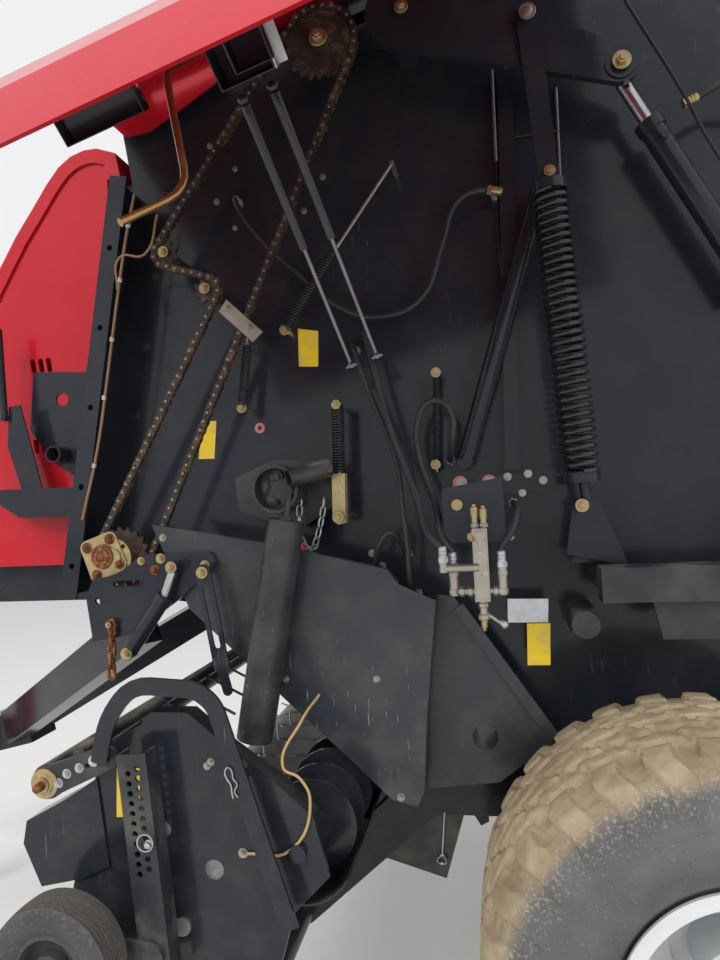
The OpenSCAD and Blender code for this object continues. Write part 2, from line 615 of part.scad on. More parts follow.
// Hoses on the left wall: points along each, from the wall outwards in y, and its radius
port = valve_y - wall_y + 20;
hoses = [
    [[[352, 0.3, 2190], [352, 15, 2190], [352, 30, 2190], [375, 56, 2188], [444, 58, 2172], [496, 58, 2058], [556, 55, 1927],
        [650, 52, 1889], [763, 40, 1919], [882, 40, 2024], [1000, 50, 2150], [1056, 44, 2240], [1062, 30, 2262],
        [1062, 15, 2262], [1062, 0.3, 2262]], 8],
    [[[505, 0.3, 1500], [505, 30, 1500], [505, 60, 1500], [495, 130, 1530], [490, 152, 1610], [515, 152, 1640],
        [550, 150, 1638], [576, 150, 1586], [573, 150, 1499], [548, 165, 1420], [532, 205, 1360], [528, 245, 1322],
        [513, port, 1295], [499, port, 1275], [499, port, 1258], [499, port, 1240.3]], 8],
    [[[712, 0.3, 1842], [712, 30, 1842], [712, 60, 1842], [700, 120, 1832], [668, 150, 1692], [640, 165, 1577],
        [605, 178, 1475], [578, 205, 1400], [562, 255, 1345], [542, 280, 1308], [524, port + 22, 1290],
        [520, port + 22, 1273], [520, port + 22, 1256.3]], 8],
    [[[745, 0.3, 1815], [745, 30, 1815], [745, 60, 1815], [733, 115, 1800], [695, 134, 1680], [657, 142, 1578],
        [632, 150, 1500], [622, 168, 1400], [612, 180, 1290], [612, 168, 1210], [610, 110, 1165], [610, 60, 1150],
        [610, 30, 1150], [610, 0.3, 1150]], 7],
    [[[350, 0.3, 1380], [350, 60, 1380], [350, 120, 1380], [346, 185, 1375], [350, 240, 1350], [368, 262, 1312],
        [389, port, 1280], [389, port, 1260], [389, port, 1240.3]], 8],
    [[[705, 0.3, 1225], [705, 30, 1225], [705, 60, 1225], [700, 130, 1250], [682, 158, 1300], [655, 160, 1322],
        [636, 140, 1300], [630, 90, 1262], [630, 60, 1255], [630, 30, 1255], [630, 0.3, 1255]], 7]];
module held_hoses() color(rubber_grey) place() for (h = hoses) hose([for (p = h[0]) p + [0, wall_y, 0]], h[1]);

// Chamber rollers and belts that show when the tailgate is up
belt_gap = 0.4;
belt_rollers = [[600, 1050, 90, 1], [700, 2450, 80, 1]];
module chamber_rollers() color(slate) place()
    for (p = [[230, 830, 90], [600, 1050, 90], [700, 2450, 80], [-100, 2750, 70]]) {
        across([p[0], p[1]], p[2], -half_w + 4, chamber_w - 8);
        across([p[0], p[1]], 25, -half_w + seat_gap, chamber_w - 2 * seat_gap);
    }

module front_belts() color([0.1, 0.1, 0.1]) place() {
    w = (chamber_w - 40) / belt_count;
    for (k = [0 : belt_count - 1]) raise(-half_w + 20 + k * w + 10, w - 20) difference() {
        polygon(band_loop(belt_rollers, belt_t + belt_gap, 24));
        polygon(band_loop(belt_rollers, belt_gap, 24));
    }
}

// Short rams and their chain between the front bracket and the pickup
lift_plate = [[1357, 1253], [1301, 1294], [1111, 1295], [1094, 1269], [1196, 1180], [1330, 1090], [1447, 1073],
    [1462, 1190], [1440, 1235], [1400, 1240]];
module lift_rams() color(slate) place() both_sides() {
    difference() {
        slab(lift_plate, wall_y + 200, 10);
        raise(wall_y + 199, 12) bar2d([1375, 1221], 8, [1303, 1221], 8);
        across([1428, 1178], 9, wall_y + 199, 12);
    }
    across([1150, 1225], 16, shield_y + 5, wall_y + 200 - shield_y - 5 + eps);
    translate([1300, wall_y, 1200]) cube([14, 200 + eps, 50]);
    rod([1198, wall_y + 232, 1263], [1231, wall_y + 232, 1181], 12);
    rod([1228, wall_y + 232, 1188], [1324, wall_y + 232, 1060], 20);
    rod([1228, wall_y + 232, 1188], [1238, wall_y + 232, 1175], 23);
    across([1198, 1263], 14, wall_y + 209, 40);
    across([1333, 1048], 17, wall_y + 218, 28);
    raise(wall_y + 254, 6) difference() {
        bar2d([1112, 1249], 20, [1074, 1020], 20);
        bar2d([1106, 1208], 8, [1082, 1070], 8);
    }
    raise(wall_y + 254, 6) bar2d([1074, 1010], 12, [1061, 959], 12);
    across([1112, 1249], 9, wall_y + 209, 56);
    across([1384, 1120], 4.5, wall_y + 209, 30);
}

link_r = 4;
module safety_chain() color([0.5, 0.3, 0.2]) place() for (k = [0 : 4])
    translate([1384 + 1.5 * k, wall_y + 222, 1110 - 28 * k]) rotate([0, 0, 90 * (k % 2)]) rotate([90, 0, 0])
        difference() {
            translate([0, 0, -link_r]) linear_extrude(2 * link_r) bar2d([0, -12], 11, [0, 12], 11);
            translate([0, 0, -link_r - 1]) linear_extrude(2 * link_r + 2) bar2d([0, -12], 5, [0, 12], 5);
        }

// Main wheels
module tyre_body() rotate([-90, 0, 0]) rotate_extrude($fn = 96) polygon(tyre_profile);
bead_w = tyre_w - 114;
tyre_profile = [[rim_r - 18.7, -bead_w / 2], [rim_r + 10, -bead_w / 2 - 6], [rim_r + 60, -tyre_w / 2 + 12],
    [rim_r + 110, -tyre_w / 2], [tyre_r - 70, -tyre_w / 2 + 6], [tyre_r - 20, -tyre_w / 2 + 34],
    [tyre_r - 4, -tyre_w / 2 + 56], [tyre_r, 0], [tyre_r - 4, tyre_w / 2 - 56], [tyre_r - 20, tyre_w / 2 - 34],
    [tyre_r - 70, tyre_w / 2 - 6], [rim_r + 110, tyre_w / 2], [rim_r + 60, tyre_w / 2 - 12],
    [rim_r + 10, bead_w / 2 + 6], [rim_r - 18.7, bead_w / 2]];

disc_in = -40;
module rim_body() rotate([-90, 0, 0]) difference() {
    union() {
        rotate_extrude($fn = 96) {
            translate([rim_r - 27, -bead_w / 2 - 14]) square([8, bead_w + 28]);
            for (s = [-1, 1]) translate([rim_r - 27, s * (bead_w / 2 + 10) - 4]) square([27, 8]);
            translate([97, disc_in]) square([rim_r - 97 - 24, disc_t]);
            translate([spindle_r + 0.06, -120]) square([60 - spindle_r, 180]);
            translate([spindle_r + 0.06, disc_in - 12]) square([124 - spindle_r, 12 + eps]);
        }
        translate([0, 0, 60]) cylinder(h = 20, r = 60);
    }
    for (k = [0 : 5]) rotate(60 * k) translate([stud_circle_r + 75, 0, disc_in - 1]) cylinder(h = disc_t + 2, r = 12);
}

module tyre_left() color(rubber_grey) place() translate([0, track_w / 2, axle_z]) tyre_body();
module tyre_right() color(rubber_grey) place() translate([0, -track_w / 2, axle_z]) tyre_body();
module rim_left() color(bright) place() translate([0, track_w / 2, axle_z]) rim_body();
module rim_right() color(bright) place() mirror([0, 1, 0]) translate([0, track_w / 2, axle_z]) rim_body();

// Tailgate
gate_hinge = [-235, 2895];
gate_pin_r = 22;
gate_outline = [[split_x - split_gap, 660], [split_x - split_gap, 2790], [-520, 2840], [-800, 2740], [-1080, 2520],
    [-1300, 2180], [-1390, 1800], [-1370, 1400], [-1240, 1040], [-1000, 780], [-700, 650]];
gate_ear_y = wall_y + 6;
gate_eye = [-560, 2500];
gate_foot = [-230, 1300];
gate_ram_y = wall_y + 66;
gate_rod_r = 18;
gate_barrel = 900;
gate_stroke = 520;
module gate_walls() color(slate) place() {
    both_sides() {
        slab(gate_outline, half_w, wall_t);
        difference() {
            raise(gate_ear_y, 16) bar2d(gate_hinge, 50, [-520, 2700], 70);
            across(gate_hinge, gate_pin_r + 0.05, gate_ear_y - 1, 18);
        }
        raise(wall_y - eps, 7) translate([-520, 2700]) circle(60);
        across(gate_eye, 40, wall_y - eps, gate_ram_y - 27 - wall_y);
        beam([-800, 2700], [-1240, 2100], 50, 40, wall_y + 20);
        beam([-1260, 1700], [-1100, 1000], 50, 40, wall_y + 20);
        translate([-1376, half_w - lamp_w - 10, 1270]) cube([60, lamp_w + 11, 120]);
    }
    for (p = [[-1165, 2291, 44], [-900, 800, 50], [-560, 2750, 50]])
        translate([p[0] - p[2] / 2, -half_w + eps, p[1] - p[2] / 2]) cube([p[2], chamber_w - 2 * eps, p[2]]);
}

lamp_w = 160;
module gate_cover() color(red) place() both_sides()
    slab([[-360, 2770], [-520, 2820], [-800, 2720], [-1080, 2500], [-1290, 2160], [-1375, 1800], [-1300, 1700],
        [-1200, 2060], [-980, 2400], [-700, 2600], [-420, 2660]], wall_y + 40, 8);

gate_ring = [[-480, 760, 45, 1], [-1090, 1060, 55, 1], [-1260, 1500, 55, 1], [-1240, 1960, 55, 1],
    [-900, 2500, 55, 1], [-430, 2660, 45, 1]];
module gate_belts() color([0.1, 0.1, 0.1]) place() {
    w = (chamber_w - 40) / belt_count;
    rev = [for (k = [len(gate_ring) - 1 : -1 : 0]) gate_ring[k]];
    for (k = [0 : belt_count - 1]) raise(-half_w + 20 + k * w + 10, w - 20) difference() {
        polygon(band_loop(rev, belt_t + belt_gap));
        polygon(band_loop(rev, belt_gap));
    }
}
module gate_rollers() color(slate) place() for (p = gate_ring) {
    across([p[0], p[1]], p[2], -half_w + 4, chamber_w - 8);
    across([p[0], p[1]], 25, -half_w + seat_gap, chamber_w - 2 * seat_gap);
}

module tail_lamps() color([0.8, 0.1, 0.1]) place() both_sides()
    translate([-1416, half_w - 160, 1280]) cube([40, lamp_w + 40, 100]);

gate_way = (gate_eye - gate_foot) / norm(gate_eye - gate_foot);
module gate_barrels() color(slate) place() both_sides() difference() {
    union() {
        rod(lift3(gate_foot + 20 * gate_way, gate_ram_y), lift3(gate_foot + gate_barrel * gate_way, gate_ram_y), 32);
        across(gate_foot, 36, gate_ram_y - 25, 50);
    }
    across(gate_foot, gate_pin_r + 0.05, gate_ram_y - 40, 80);
    rod(lift3(gate_foot + 60 * gate_way, gate_ram_y), lift3(gate_foot + (gate_barrel + 9) * gate_way, gate_ram_y),
        gate_rod_r + 0.06, 48);
}
module gate_rods() color(bright) place() both_sides() {
    rod(lift3(gate_foot + (gate_barrel - gate_stroke - 40) * gate_way, gate_ram_y),
        lift3(gate_eye - 20 * gate_way, gate_ram_y), gate_rod_r, 48);
    across(gate_eye, 32, gate_ram_y - 22, 44);
    across(gate_eye, 14, gate_ram_y - 26.7, 20);
}

// Side doors: local frame with x forwards along the hinge, y outwards, z up
door_hinge = [1020, roof_edge + 16, roof_at(1020) - 24];
door_front = 480;
door_back = -960;
door_t = 5;
door_lean = 12;
hinge_pin_r = 6;
knuckle_r = 12;
knuckle_places = [380, -240, -860];
// Distance from the hinge and bulge of the door's skin, as shares of its width and its bulge
door_profile = [[0.012, 0.3], [0.05, 0.77], [0.16, 0.93], [0.45, 1], [0.78, 0.93], [0.9, 0.7], [0.95, 0.35], [1, 0]];
module door_frame(open) translate(door_hinge) rotate([0, roof_slope, 0]) rotate([open, 0, 0]) children();

// Point at a distance from the hinge and a height above the door's chord, in the closed door's frame
function on_door(along, out) = [out * cos(door_lean) + along * sin(door_lean),
    out * sin(door_lean) - along * cos(door_lean)];

module door_shell() {
    n = len(door_profile);
    outer = [for (p = door_profile) on_door(p[0] * door_w, p[1] * door_bulge)];
    inner = [for (k = [n - 1 : -1 : 0]) on_door(door_profile[k][0] * door_w + (k == 0 ? door_t : k == n - 1 ? -door_t : 0),
        door_profile[k][1] * door_bulge - door_t)];
    difference() {
        union() {
            rotate([90, 0, 90]) translate([0, 0, door_back]) linear_extrude(door_front - door_back)
                polygon(concat(outer, inner));
            for (x = knuckle_places) {
                rod([x - 45, 0, 0], [x + 45, 0, 0], knuckle_r);
                rotate([90, 0, 90]) translate([0, 0, x - 45]) linear_extrude(90)
                    polygon([[4, 6], [30, 12], [42, -30], [14, -24]]);
            }
        }
        for (x = knuckle_places) rod([x - 50, 0, 0], [x + 50, 0, 0], hinge_pin_r + 0.05, 32);
    }
}

// Struts: their ends on the wall and on the door, half the space between the two, lengths
strut_foot = [696, wall_y + 174, roof_z - 1223];
strut_eye = [-63.4, 7.2, -587.4];
strut_half = 34;
strut_barrel = 327;
strut_stroke = 230;
strut_rod_r = 5;
strut_r = 11;
function turned(p, a) = [p[0], p[1] * cos(a) - p[2] * sin(a), p[1] * sin(a) + p[2] * cos(a)];
function pitched(p, a) = [p[0] * cos(a) + p[2] * sin(a), p[1], p[2] * cos(a) - p[0] * sin(a)];
function on_frame(p, open) = door_hinge + pitched(turned(p, open), roof_slope);
along_hinge = [cos(roof_slope), 0, -sin(roof_slope)];

module struts_at(open) for (s = [-1, 1]) {
    foot = strut_foot + s * strut_half * along_hinge;
    eye = on_frame(strut_eye, open) + s * strut_half * along_hinge;
    way = (eye - foot) / norm(eye - foot);
    $foot = foot;
    $eye = eye;
    $way = way;
    children();
}
module strut_barrel_at() difference() {
    union() {
        rod($eye - (strut_r + 1) * $way, $eye - strut_barrel * $way, strut_r);
        translate($eye) sphere(strut_r + 2);
    }
    rod($eye - 70 * $way, $eye - (strut_barrel + 9) * $way, strut_rod_r + 0.06);
}
module strut_rod_at(open) {
    rod($foot, $eye - (strut_barrel - 20) * $way, strut_rod_r);
    strut_end();
}
module strut_end() {
    translate($foot) sphere(strut_r);
    rod($foot - 14 * along_hinge, $foot + 14 * along_hinge, 7);
}

module door_parts() rotate([door_lean, 0, 0]) {
    difference() {
        translate([-123, -84, -640]) cube([120, 163.4, 110]);
        translate([-119, -80, -645]) cube([112, 155, 111]);
    }
    translate([-160, -50, -1060]) cube([60, 110, 60]);
    rod([-101, 20, -1030], [60, 20, -1030], 6);
    rod([60, 60, -1030], [60, -100, -1030], 6);
    translate([60, -100, -1030]) sphere(6.4);
    rod([60, -100, -1030], [80, -110, -1180], 6);
}

module door_left() color(red) place() door_frame(door_open) door_shell();
module door_left_fittings() color(slate) place() door_frame(door_open) door_parts();
module door_right() color(red) place() mirror([0, 1, 0]) door_frame(0) door_shell();
module door_right_fittings() color(slate) place() mirror([0, 1, 0]) door_frame(0) door_parts();
module strut_barrels_left() color(slate) place() struts_at(door_open) strut_barrel_at();
module strut_rods_left() color(bright) place() struts_at(door_open) strut_rod_at();
module strut_barrels_right() color(slate) place() mirror([0, 1, 0]) struts_at(0) strut_barrel_at();
module strut_rods_right() color(bright) place() mirror([0, 1, 0]) struts_at(0) strut_rod_closed();
module strut_rod_closed() {
    rod($foot, $foot + (norm(on_frame(strut_eye, door_open) - strut_foot) - strut_barrel + 20) * $way, strut_rod_r);
    strut_end();
}

// Pickup
pickup_pivot = [530, 700];
pivot_r = 30;
reel_c = [1100, 520];
reel_shaft_r = 20;
auger_c = [835, 688];
auger_r = 100;
auger_shaft_r = 18;
trough_r = auger_r + 12;
side_y = pickup_w / 2;
cross_tube = [974, 305];
cross_tube_r = 38;
guard_pivot = [1250, 880];
guard_pin_r = 10;
guard_c = [1399, 822];
guard_rail = [1320, 884];
side_outline = [[1177, 945], [1152, 973], [1067, 972], [980, 900], [880, 830], [800, 760], [770, 640], [850, 560],
    [900, 400], [920, 300], [1000, 262], [1200, 330], [1300, 400], [1363, 559], [1285, 850], [1275, 900]];
nose_outline = [[1470, 680], [1460, 731], [1359, 783], [1284, 829], [1262, 640], [1329, 610], [1429, 588]];
module pickup_frame() color(slate) place() {
    both_sides() {
        difference() {
            slab(side_outline, side_y, 8);
            across(reel_c, reel_shaft_r + 0.05, side_y - 1, 10);
            across(auger_c, auger_shaft_r + 0.05, side_y - 1, 10);
        }
        difference() {
            raise(wall_y + 6, 12) bar2d(pickup_pivot, 60, cross_tube, 50);
            across(pickup_pivot, pivot_r + 0.05, wall_y, 30);
        }
        across(guard_pivot, guard_pin_r, side_y, hoop_y - side_y);
        slab(ribbon([[1177, 945], [1152, 971], [1067, 970], [980, 899], [880, 829], [800, 759]], 2), side_y - 40, 44);
        difference() {
            slab(nose_outline, side_y - 58, 72);
            raise(side_y - 70, 80) offset(delta = -4) polygon(nose_outline);
        }
    }
    across(cross_tube, cross_tube_r, -side_y - eps, 2 * side_y + 2 * eps);
    translate([reel_c[0] - band_tail - 8, -side_y - eps, reel_c[1] + band_r - 10]) cube([8, 2 * side_y + 2 * eps, 20]);
    both_sides() raise(wall_y + 6, side_y - wall_y - 6 + eps) difference() {
        translate(auger_c) circle(trough_r + 5);
        translate(auger_c) circle(trough_r);
        translate(auger_c) polygon([[0, 0], [200, -240], [200, 200], [-200, 200], [-200, -120]]);
    }
}

band_tail = 150;
band_foot = 90;
module stripper_bands() color(slate) place() {
    n = tines_per_bar;
    gap = (pickup_w - 20) / n;
    for (k = [0 : n - 1]) raise(-side_y + 10 + k * gap + 12, gap - 24) difference() {
        union() {
            translate(reel_c) circle(band_r);
            translate(reel_c + [-band_tail, 0]) square([band_tail, band_r]);
            translate(reel_c + [-band_foot, -band_r]) square([band_foot, band_r]);
        }
        translate(reel_c) circle(band_r - 4);
        translate(reel_c + [-200, -band_r + 4]) square([200, 2 * band_r - 8]);
    }
}

module reel() color(zinc) place() {
    across(reel_c, reel_shaft_r, -side_y - 14, 2 * side_y + 28);
    for (y = [-side_y + 30, -8, side_y - 46]) across(reel_c, 110, y, 16);
    pitch = (pickup_w - 20) / tines_per_bar;
    for (b = [0 : tine_bars - 1]) {
        a = 360 * b / tine_bars + 20;
        c = reel_c + 95 * [cos(a), sin(a)];
        across(c, 12, -side_y + 30, 2 * side_y - 60);
        for (k = [1 : tines_per_bar - 1]) {
            y = -side_y + 10 + pitch * k;
            rod([c[0], y, c[1]], [reel_c[0] + tine_tip_r * cos(a), y, reel_c[1] + tine_tip_r * sin(a)], 3, 16);
        }
    }
}

module side_augers() color(slate) place() both_sides() {
    across(auger_c, 40, wall_y + 30, side_y - wall_y - 34);
    across(auger_c, auger_shaft_r, side_y - 10, 30);
    for (k = [0 : 3]) across(auger_c, auger_r, wall_y + 60 + 95 * k, 8);
}

hoop_y = side_y + 52;
hoop_path = [guard_pivot, [1229, 972], [1168, 1045], [1023, 1035], [985, 1005], [844, 558]];
module hoop_guards() color(slate) place() both_sides() {
    slab(ribbon(eased(hoop_path, 60), 18), hoop_y, 8);
    across([936, 850], 9, side_y + 8, hoop_y - side_y - 8 + eps);
}

leg_y = side_y + 60;
gauge_c = [1295, 523];
module gauge_legs() color(slate) place() both_sides() {
    foot = [1122, 440];
    head = [1162, 909];
    up = (head - foot) / norm(head - foot);
    difference() {
        beam(foot, head, 66, 46, leg_y);
        beam(foot - up, head + up, 56, 40.02, leg_y - 3);
        for (k = [0 : 10], side = [-1, 1])
            across(head - (34 + 20.5 * k - 5 * side) * up + side * 11 * [-up[1], up[0]], 6.5, leg_y + 10, 20);
    }
    raise(leg_y + 22, 10) bar2d([1135, 500], 30, gauge_c, 22);
    across(gauge_c, 12, leg_y + 31, 112);
    for (p = [[1139, 642], [1134, 575]]) across(p, 12, side_y + 8, leg_y - side_y + 12);
}

gauge_r = 130;
gauge_w = 85;
module gauge_wheel_body() translate([gauge_c[0], leg_y + 52 + gauge_w / 2, gauge_c[1]]) rotate([-90, 0, 0]) rotate_extrude($fn = 64)
    polygon([[12.06, -40], [50, -40], [55, -30], [70, -gauge_w / 2 + 6], [95, -gauge_w / 2], [118, -gauge_w / 2 + 10],
        [gauge_r, -20], [gauge_r, 20], [118, gauge_w / 2 - 10], [95, gauge_w / 2], [70, gauge_w / 2 - 6], [55, 30],
        [50, 40], [12.06, 40]]);
module gauge_wheel_left() color(rubber_grey) place() gauge_wheel_body();
module gauge_wheel_right() color(rubber_grey) place() mirror([0, 1, 0]) gauge_wheel_body();

module windguard() color(slate) place() {
    both_sides() difference() {
        raise(side_y + 20, 10) bar2d(guard_pivot, 26, guard_c, 34);
        across(guard_pivot, guard_pin_r + 0.05, side_y + 19, 12);
        for (share = [0.3, 0.45, 0.6]) across((1 - share) * guard_pivot + share * guard_c, 6, side_y + 19, 12);
    }
    across(guard_c, 38, -side_y - 20 - eps, 2 * side_y + 40 + 2 * eps);
    across(guard_rail, 14, -side_y - 20 - eps, 2 * side_y + 40 + 2 * eps);
    for (k = [-7 : 7]) rod([guard_rail[0], 140 * k, guard_rail[1]], [1165, 140 * k, 806], 4, 12);
}

rotor_c = pickup_pivot;
module feed_rotor() color(slate) place() {
    across(rotor_c, 80, -half_w + 10, chamber_w - 20);
    across(rotor_c, pivot_r, -wall_y - 22, 2 * wall_y + 44);
    for (k = [0 : 9], a = [0 : 90 : 359]) {
        y = -half_w + 70 + k * (chamber_w - 140) / 9;
        raise(y - 4, 8) translate(rotor_c) rotate(a + 18 * k) polygon([[60, -50], [200, -10], [205, 15], [60, 50]]);
    }
}

side_walls();
chassis();
drawbar();
jack_tube();
jack_leg();
gearbox();
cross_shaft();
front_box();
front_hood();
roof();
lower_shields();
side_beams();
tension_arms();
spring_links();
main_springs();
spring_anchors();
tension_cylinders();
drive_chain();
chain_sprockets();
chain_tensioner();
small_springs();
clutch_hub();
support_tube();
valve_block();
wall_brackets();
held_hoses();
front_belts();
chamber_rollers();
lift_rams();
safety_chain();
tyre_left();
rim_left();
tyre_right();
rim_right();
gate_walls();
gate_cover();
gate_belts();
gate_rollers();
tail_lamps();
gate_barrels();
gate_rods();
door_left();
door_left_fittings();
strut_barrels_left();
strut_rods_left();
door_right();
door_right_fittings();
strut_barrels_right();
strut_rods_right();
pickup_frame();
stripper_bands();
hoop_guards();
gauge_legs();
reel();
side_augers();
windguard();
gauge_wheel_left();
gauge_wheel_right();
feed_rotor();
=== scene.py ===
"""Looks of the round baler: finishes for its CAD nodes, and detailed pieces that are built round them.

Places are written as on the machine's own drawing, in millimetres: x forwards from the wheel axle, y to
the left from the centreline, z up from the ground. at() turns them into the metres of the shared frame,
whose origin is the centre of the hitch eye.
"""

import math
import random

import bmesh
import bpy
from mathutils import Matrix, Vector


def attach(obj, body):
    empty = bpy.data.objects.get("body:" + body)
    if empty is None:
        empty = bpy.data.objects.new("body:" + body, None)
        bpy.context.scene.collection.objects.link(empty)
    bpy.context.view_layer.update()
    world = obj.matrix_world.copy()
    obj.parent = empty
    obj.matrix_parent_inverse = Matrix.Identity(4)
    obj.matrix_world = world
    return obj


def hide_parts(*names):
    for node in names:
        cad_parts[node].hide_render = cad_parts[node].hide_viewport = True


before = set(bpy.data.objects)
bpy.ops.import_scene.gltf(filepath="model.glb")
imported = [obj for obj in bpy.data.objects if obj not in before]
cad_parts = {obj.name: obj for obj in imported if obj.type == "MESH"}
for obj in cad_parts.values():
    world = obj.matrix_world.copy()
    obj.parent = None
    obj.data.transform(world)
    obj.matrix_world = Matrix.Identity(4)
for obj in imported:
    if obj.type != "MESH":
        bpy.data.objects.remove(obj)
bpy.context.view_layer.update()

HITCH = Vector((2860.0, 0.0, 480.0))
WALL_Y = 606.0
FLOOR_Z = -0.48


def at(x, y, z):
    """Point of the machine's drawing, in millimetres, as a point of the frame, in metres."""
    return (Vector((x, y, z)) - HITCH) / 1000


# Camera


def set_camera():
    data = bpy.data.cameras.new("camera")
    data.sensor_fit = "VERTICAL"
    data.sensor_width = data.sensor_height = 36
    focal_px, height_px = 701.5, 960
    data.lens = 36 * focal_px / height_px
    data.clip_start, data.clip_end = 0.05, 100
    camera = bpy.data.objects.new("camera", data)
    bpy.context.scene.collection.objects.link(camera)
    camera.location = (-2.4636, 2.4907, 0.9390)
    yaw, pitch, roll = 0.1883, 0.0218, -0.0506
    turn = Matrix.Rotation(math.pi + yaw, 4, "Z") @ Matrix.Rotation(math.pi / 2 + pitch, 4, "X")
    camera.rotation_euler = (turn @ Matrix.Rotation(roll, 4, "Z")).to_euler()
    bpy.context.scene.camera = camera


set_camera()


# Shader maths


class Value:
    """A number that varies over a surface. Expressions on it add Math nodes."""

    def __init__(self, finish, socket):
        self.finish = finish
        self.socket = socket

    def math(self, operation, *others, clamp=False):
        settings = {"operation": operation, "use_clamp": clamp}
        return self.finish.node("ShaderNodeMath", settings, [self, *others])

    def __add__(self, other):
        return self.math("ADD", other)

    def __sub__(self, other):
        return self.math("SUBTRACT", other)

    def __mul__(self, other):
        return self.math("MULTIPLY", other)

    def __rsub__(self, other):
        return self.finish.node("ShaderNodeMath", {"operation": "SUBTRACT"}, [other, self])

    __radd__ = __add__
    __rmul__ = __mul__

    def root(self):
        return self.math("SQRT")

    def held(self):
        """The value, kept between 0 and 1."""
        return self.math("ADD", 0.0, clamp=True)

    def step(self, low, high):
        """0 below low and 1 above high, with a smooth ramp between them."""
        settings = {"interpolation_type": "SMOOTHSTEP"}
        sockets = {"Value": self, "From Min": low, "From Max": high}
        return self.finish.node("ShaderNodeMapRange", settings, sockets)


class Finish:
    """A material that is built from nodes around one Principled shader."""

    def __init__(self, name, metallic=0.0, coat=0.0, coat_roughness=0.08, specular=0.5):
        self.material = bpy.data.materials.new(name)
        self.material.use_nodes = True
        self.tree = self.material.node_tree
        self.shader = self.tree.nodes["Principled BSDF"]
        constants = {
            "Metallic": metallic,
            "Coat Weight": coat,
            "Coat Roughness": coat_roughness,
            "Specular IOR Level": specular,
        }
        for socket, number in constants.items():
            self.shader.inputs[socket].default_value = number
        coordinates = self.tree.nodes.new("ShaderNodeTexCoord")
        self.place = Value(self, coordinates.outputs["Object"])
        geometry = self.tree.nodes.new("ShaderNodeNewGeometry")
        self.normal = Value(self, geometry.outputs["Normal"])

    def link(self, value, socket):
        if isinstance(value, Value):
            self.tree.links.new(value.socket, socket)
        elif socket.type == "RGBA":
            socket.default_value = (*value[:3], 1.0)
        else:
            socket.default_value = value

    def node(self, kind, settings, sockets, output=0):
        """Adds a node: its settings first, then the values or links of its sockets."""
        node = self.tree.nodes.new(kind)
        for name, setting in settings.items():
            setattr(node, name, setting)
        pairs = enumerate(sockets) if isinstance(sockets, list) else sockets.items()
        for name, value in pairs:
            self.link(value, node.inputs[name])
        return Value(self, node.outputs[output])

    def noise(self, scale, detail=3.0, stretch=(1, 1, 1), turn=(0, 0, 0), roughness=0.55):
        mapped = {"Vector": self.place, "Rotation": turn, "Scale": stretch}
        place = self.node("ShaderNodeMapping", {}, mapped)
        sockets = {"Vector": place, "Scale": scale, "Detail": detail, "Roughness": roughness}
        return self.node("ShaderNodeTexNoise", {"noise_dimensions": "3D"}, sockets)

    def cells(self, scale):
        """Patchwork of cells, each with its own number."""
        sockets = {"Vector": self.place, "Scale": scale}
        return self.node("ShaderNodeTexVoronoi", {"feature": "F1"}, sockets)

    def blend(self, factor, first, second):
        """Colour that goes from the first to the second as the factor rises."""
        settings = {"data_type": "RGBA", "clamp_factor": True}
        return self.node("ShaderNodeMix", settings, {0: factor, 6: first, 7: second}, output=2)

    def upward(self):
        """1 on faces that look up, 0 on upright ones."""
        return self.node("ShaderNodeSeparateXYZ", {}, [self.normal], output=2).step(0.25, 0.9)

    def along(self, axis):
        """Coordinate in metres: 0 forwards, 1 to the left, 2 up."""
        return self.node("ShaderNodeSeparateXYZ", {}, [self.place], output=axis)

    def height(self):
        """Height in metres over the hitch eye."""
        return self.along(2)

    def radius_from(self, centre_x, centre_z):
        """Distance in metres from a crosswise line through a point of the machine's drawing."""
        ahead = self.along(0) - (centre_x - HITCH.x) / 1000
        above = self.along(2) - (centre_z - HITCH.z) / 1000
        return (ahead * ahead + above * above).root()

    def done(self, colour, roughness, bump=None, depth=0.001, strength=0.4, metallic=None, coat=None):
        self.link(colour, self.shader.inputs["Base Color"])
        self.link(roughness, self.shader.inputs["Roughness"])
        if metallic is not None:
            self.link(metallic, self.shader.inputs["Metallic"])
        if coat is not None:
            self.link(coat, self.shader.inputs["Coat Weight"])
        if bump is not None:
            sockets = {"Height": bump, "Distance": depth, "Strength": strength}
            self.link(self.node("ShaderNodeBump", {}, sockets), self.shader.inputs["Normal"])
        return self.material


# Finishes

DUST = (0.36, 0.32, 0.26)
RUST_DARK = (0.11, 0.045, 0.022)
RUST_BRIGHT = (0.36, 0.13, 0.045)


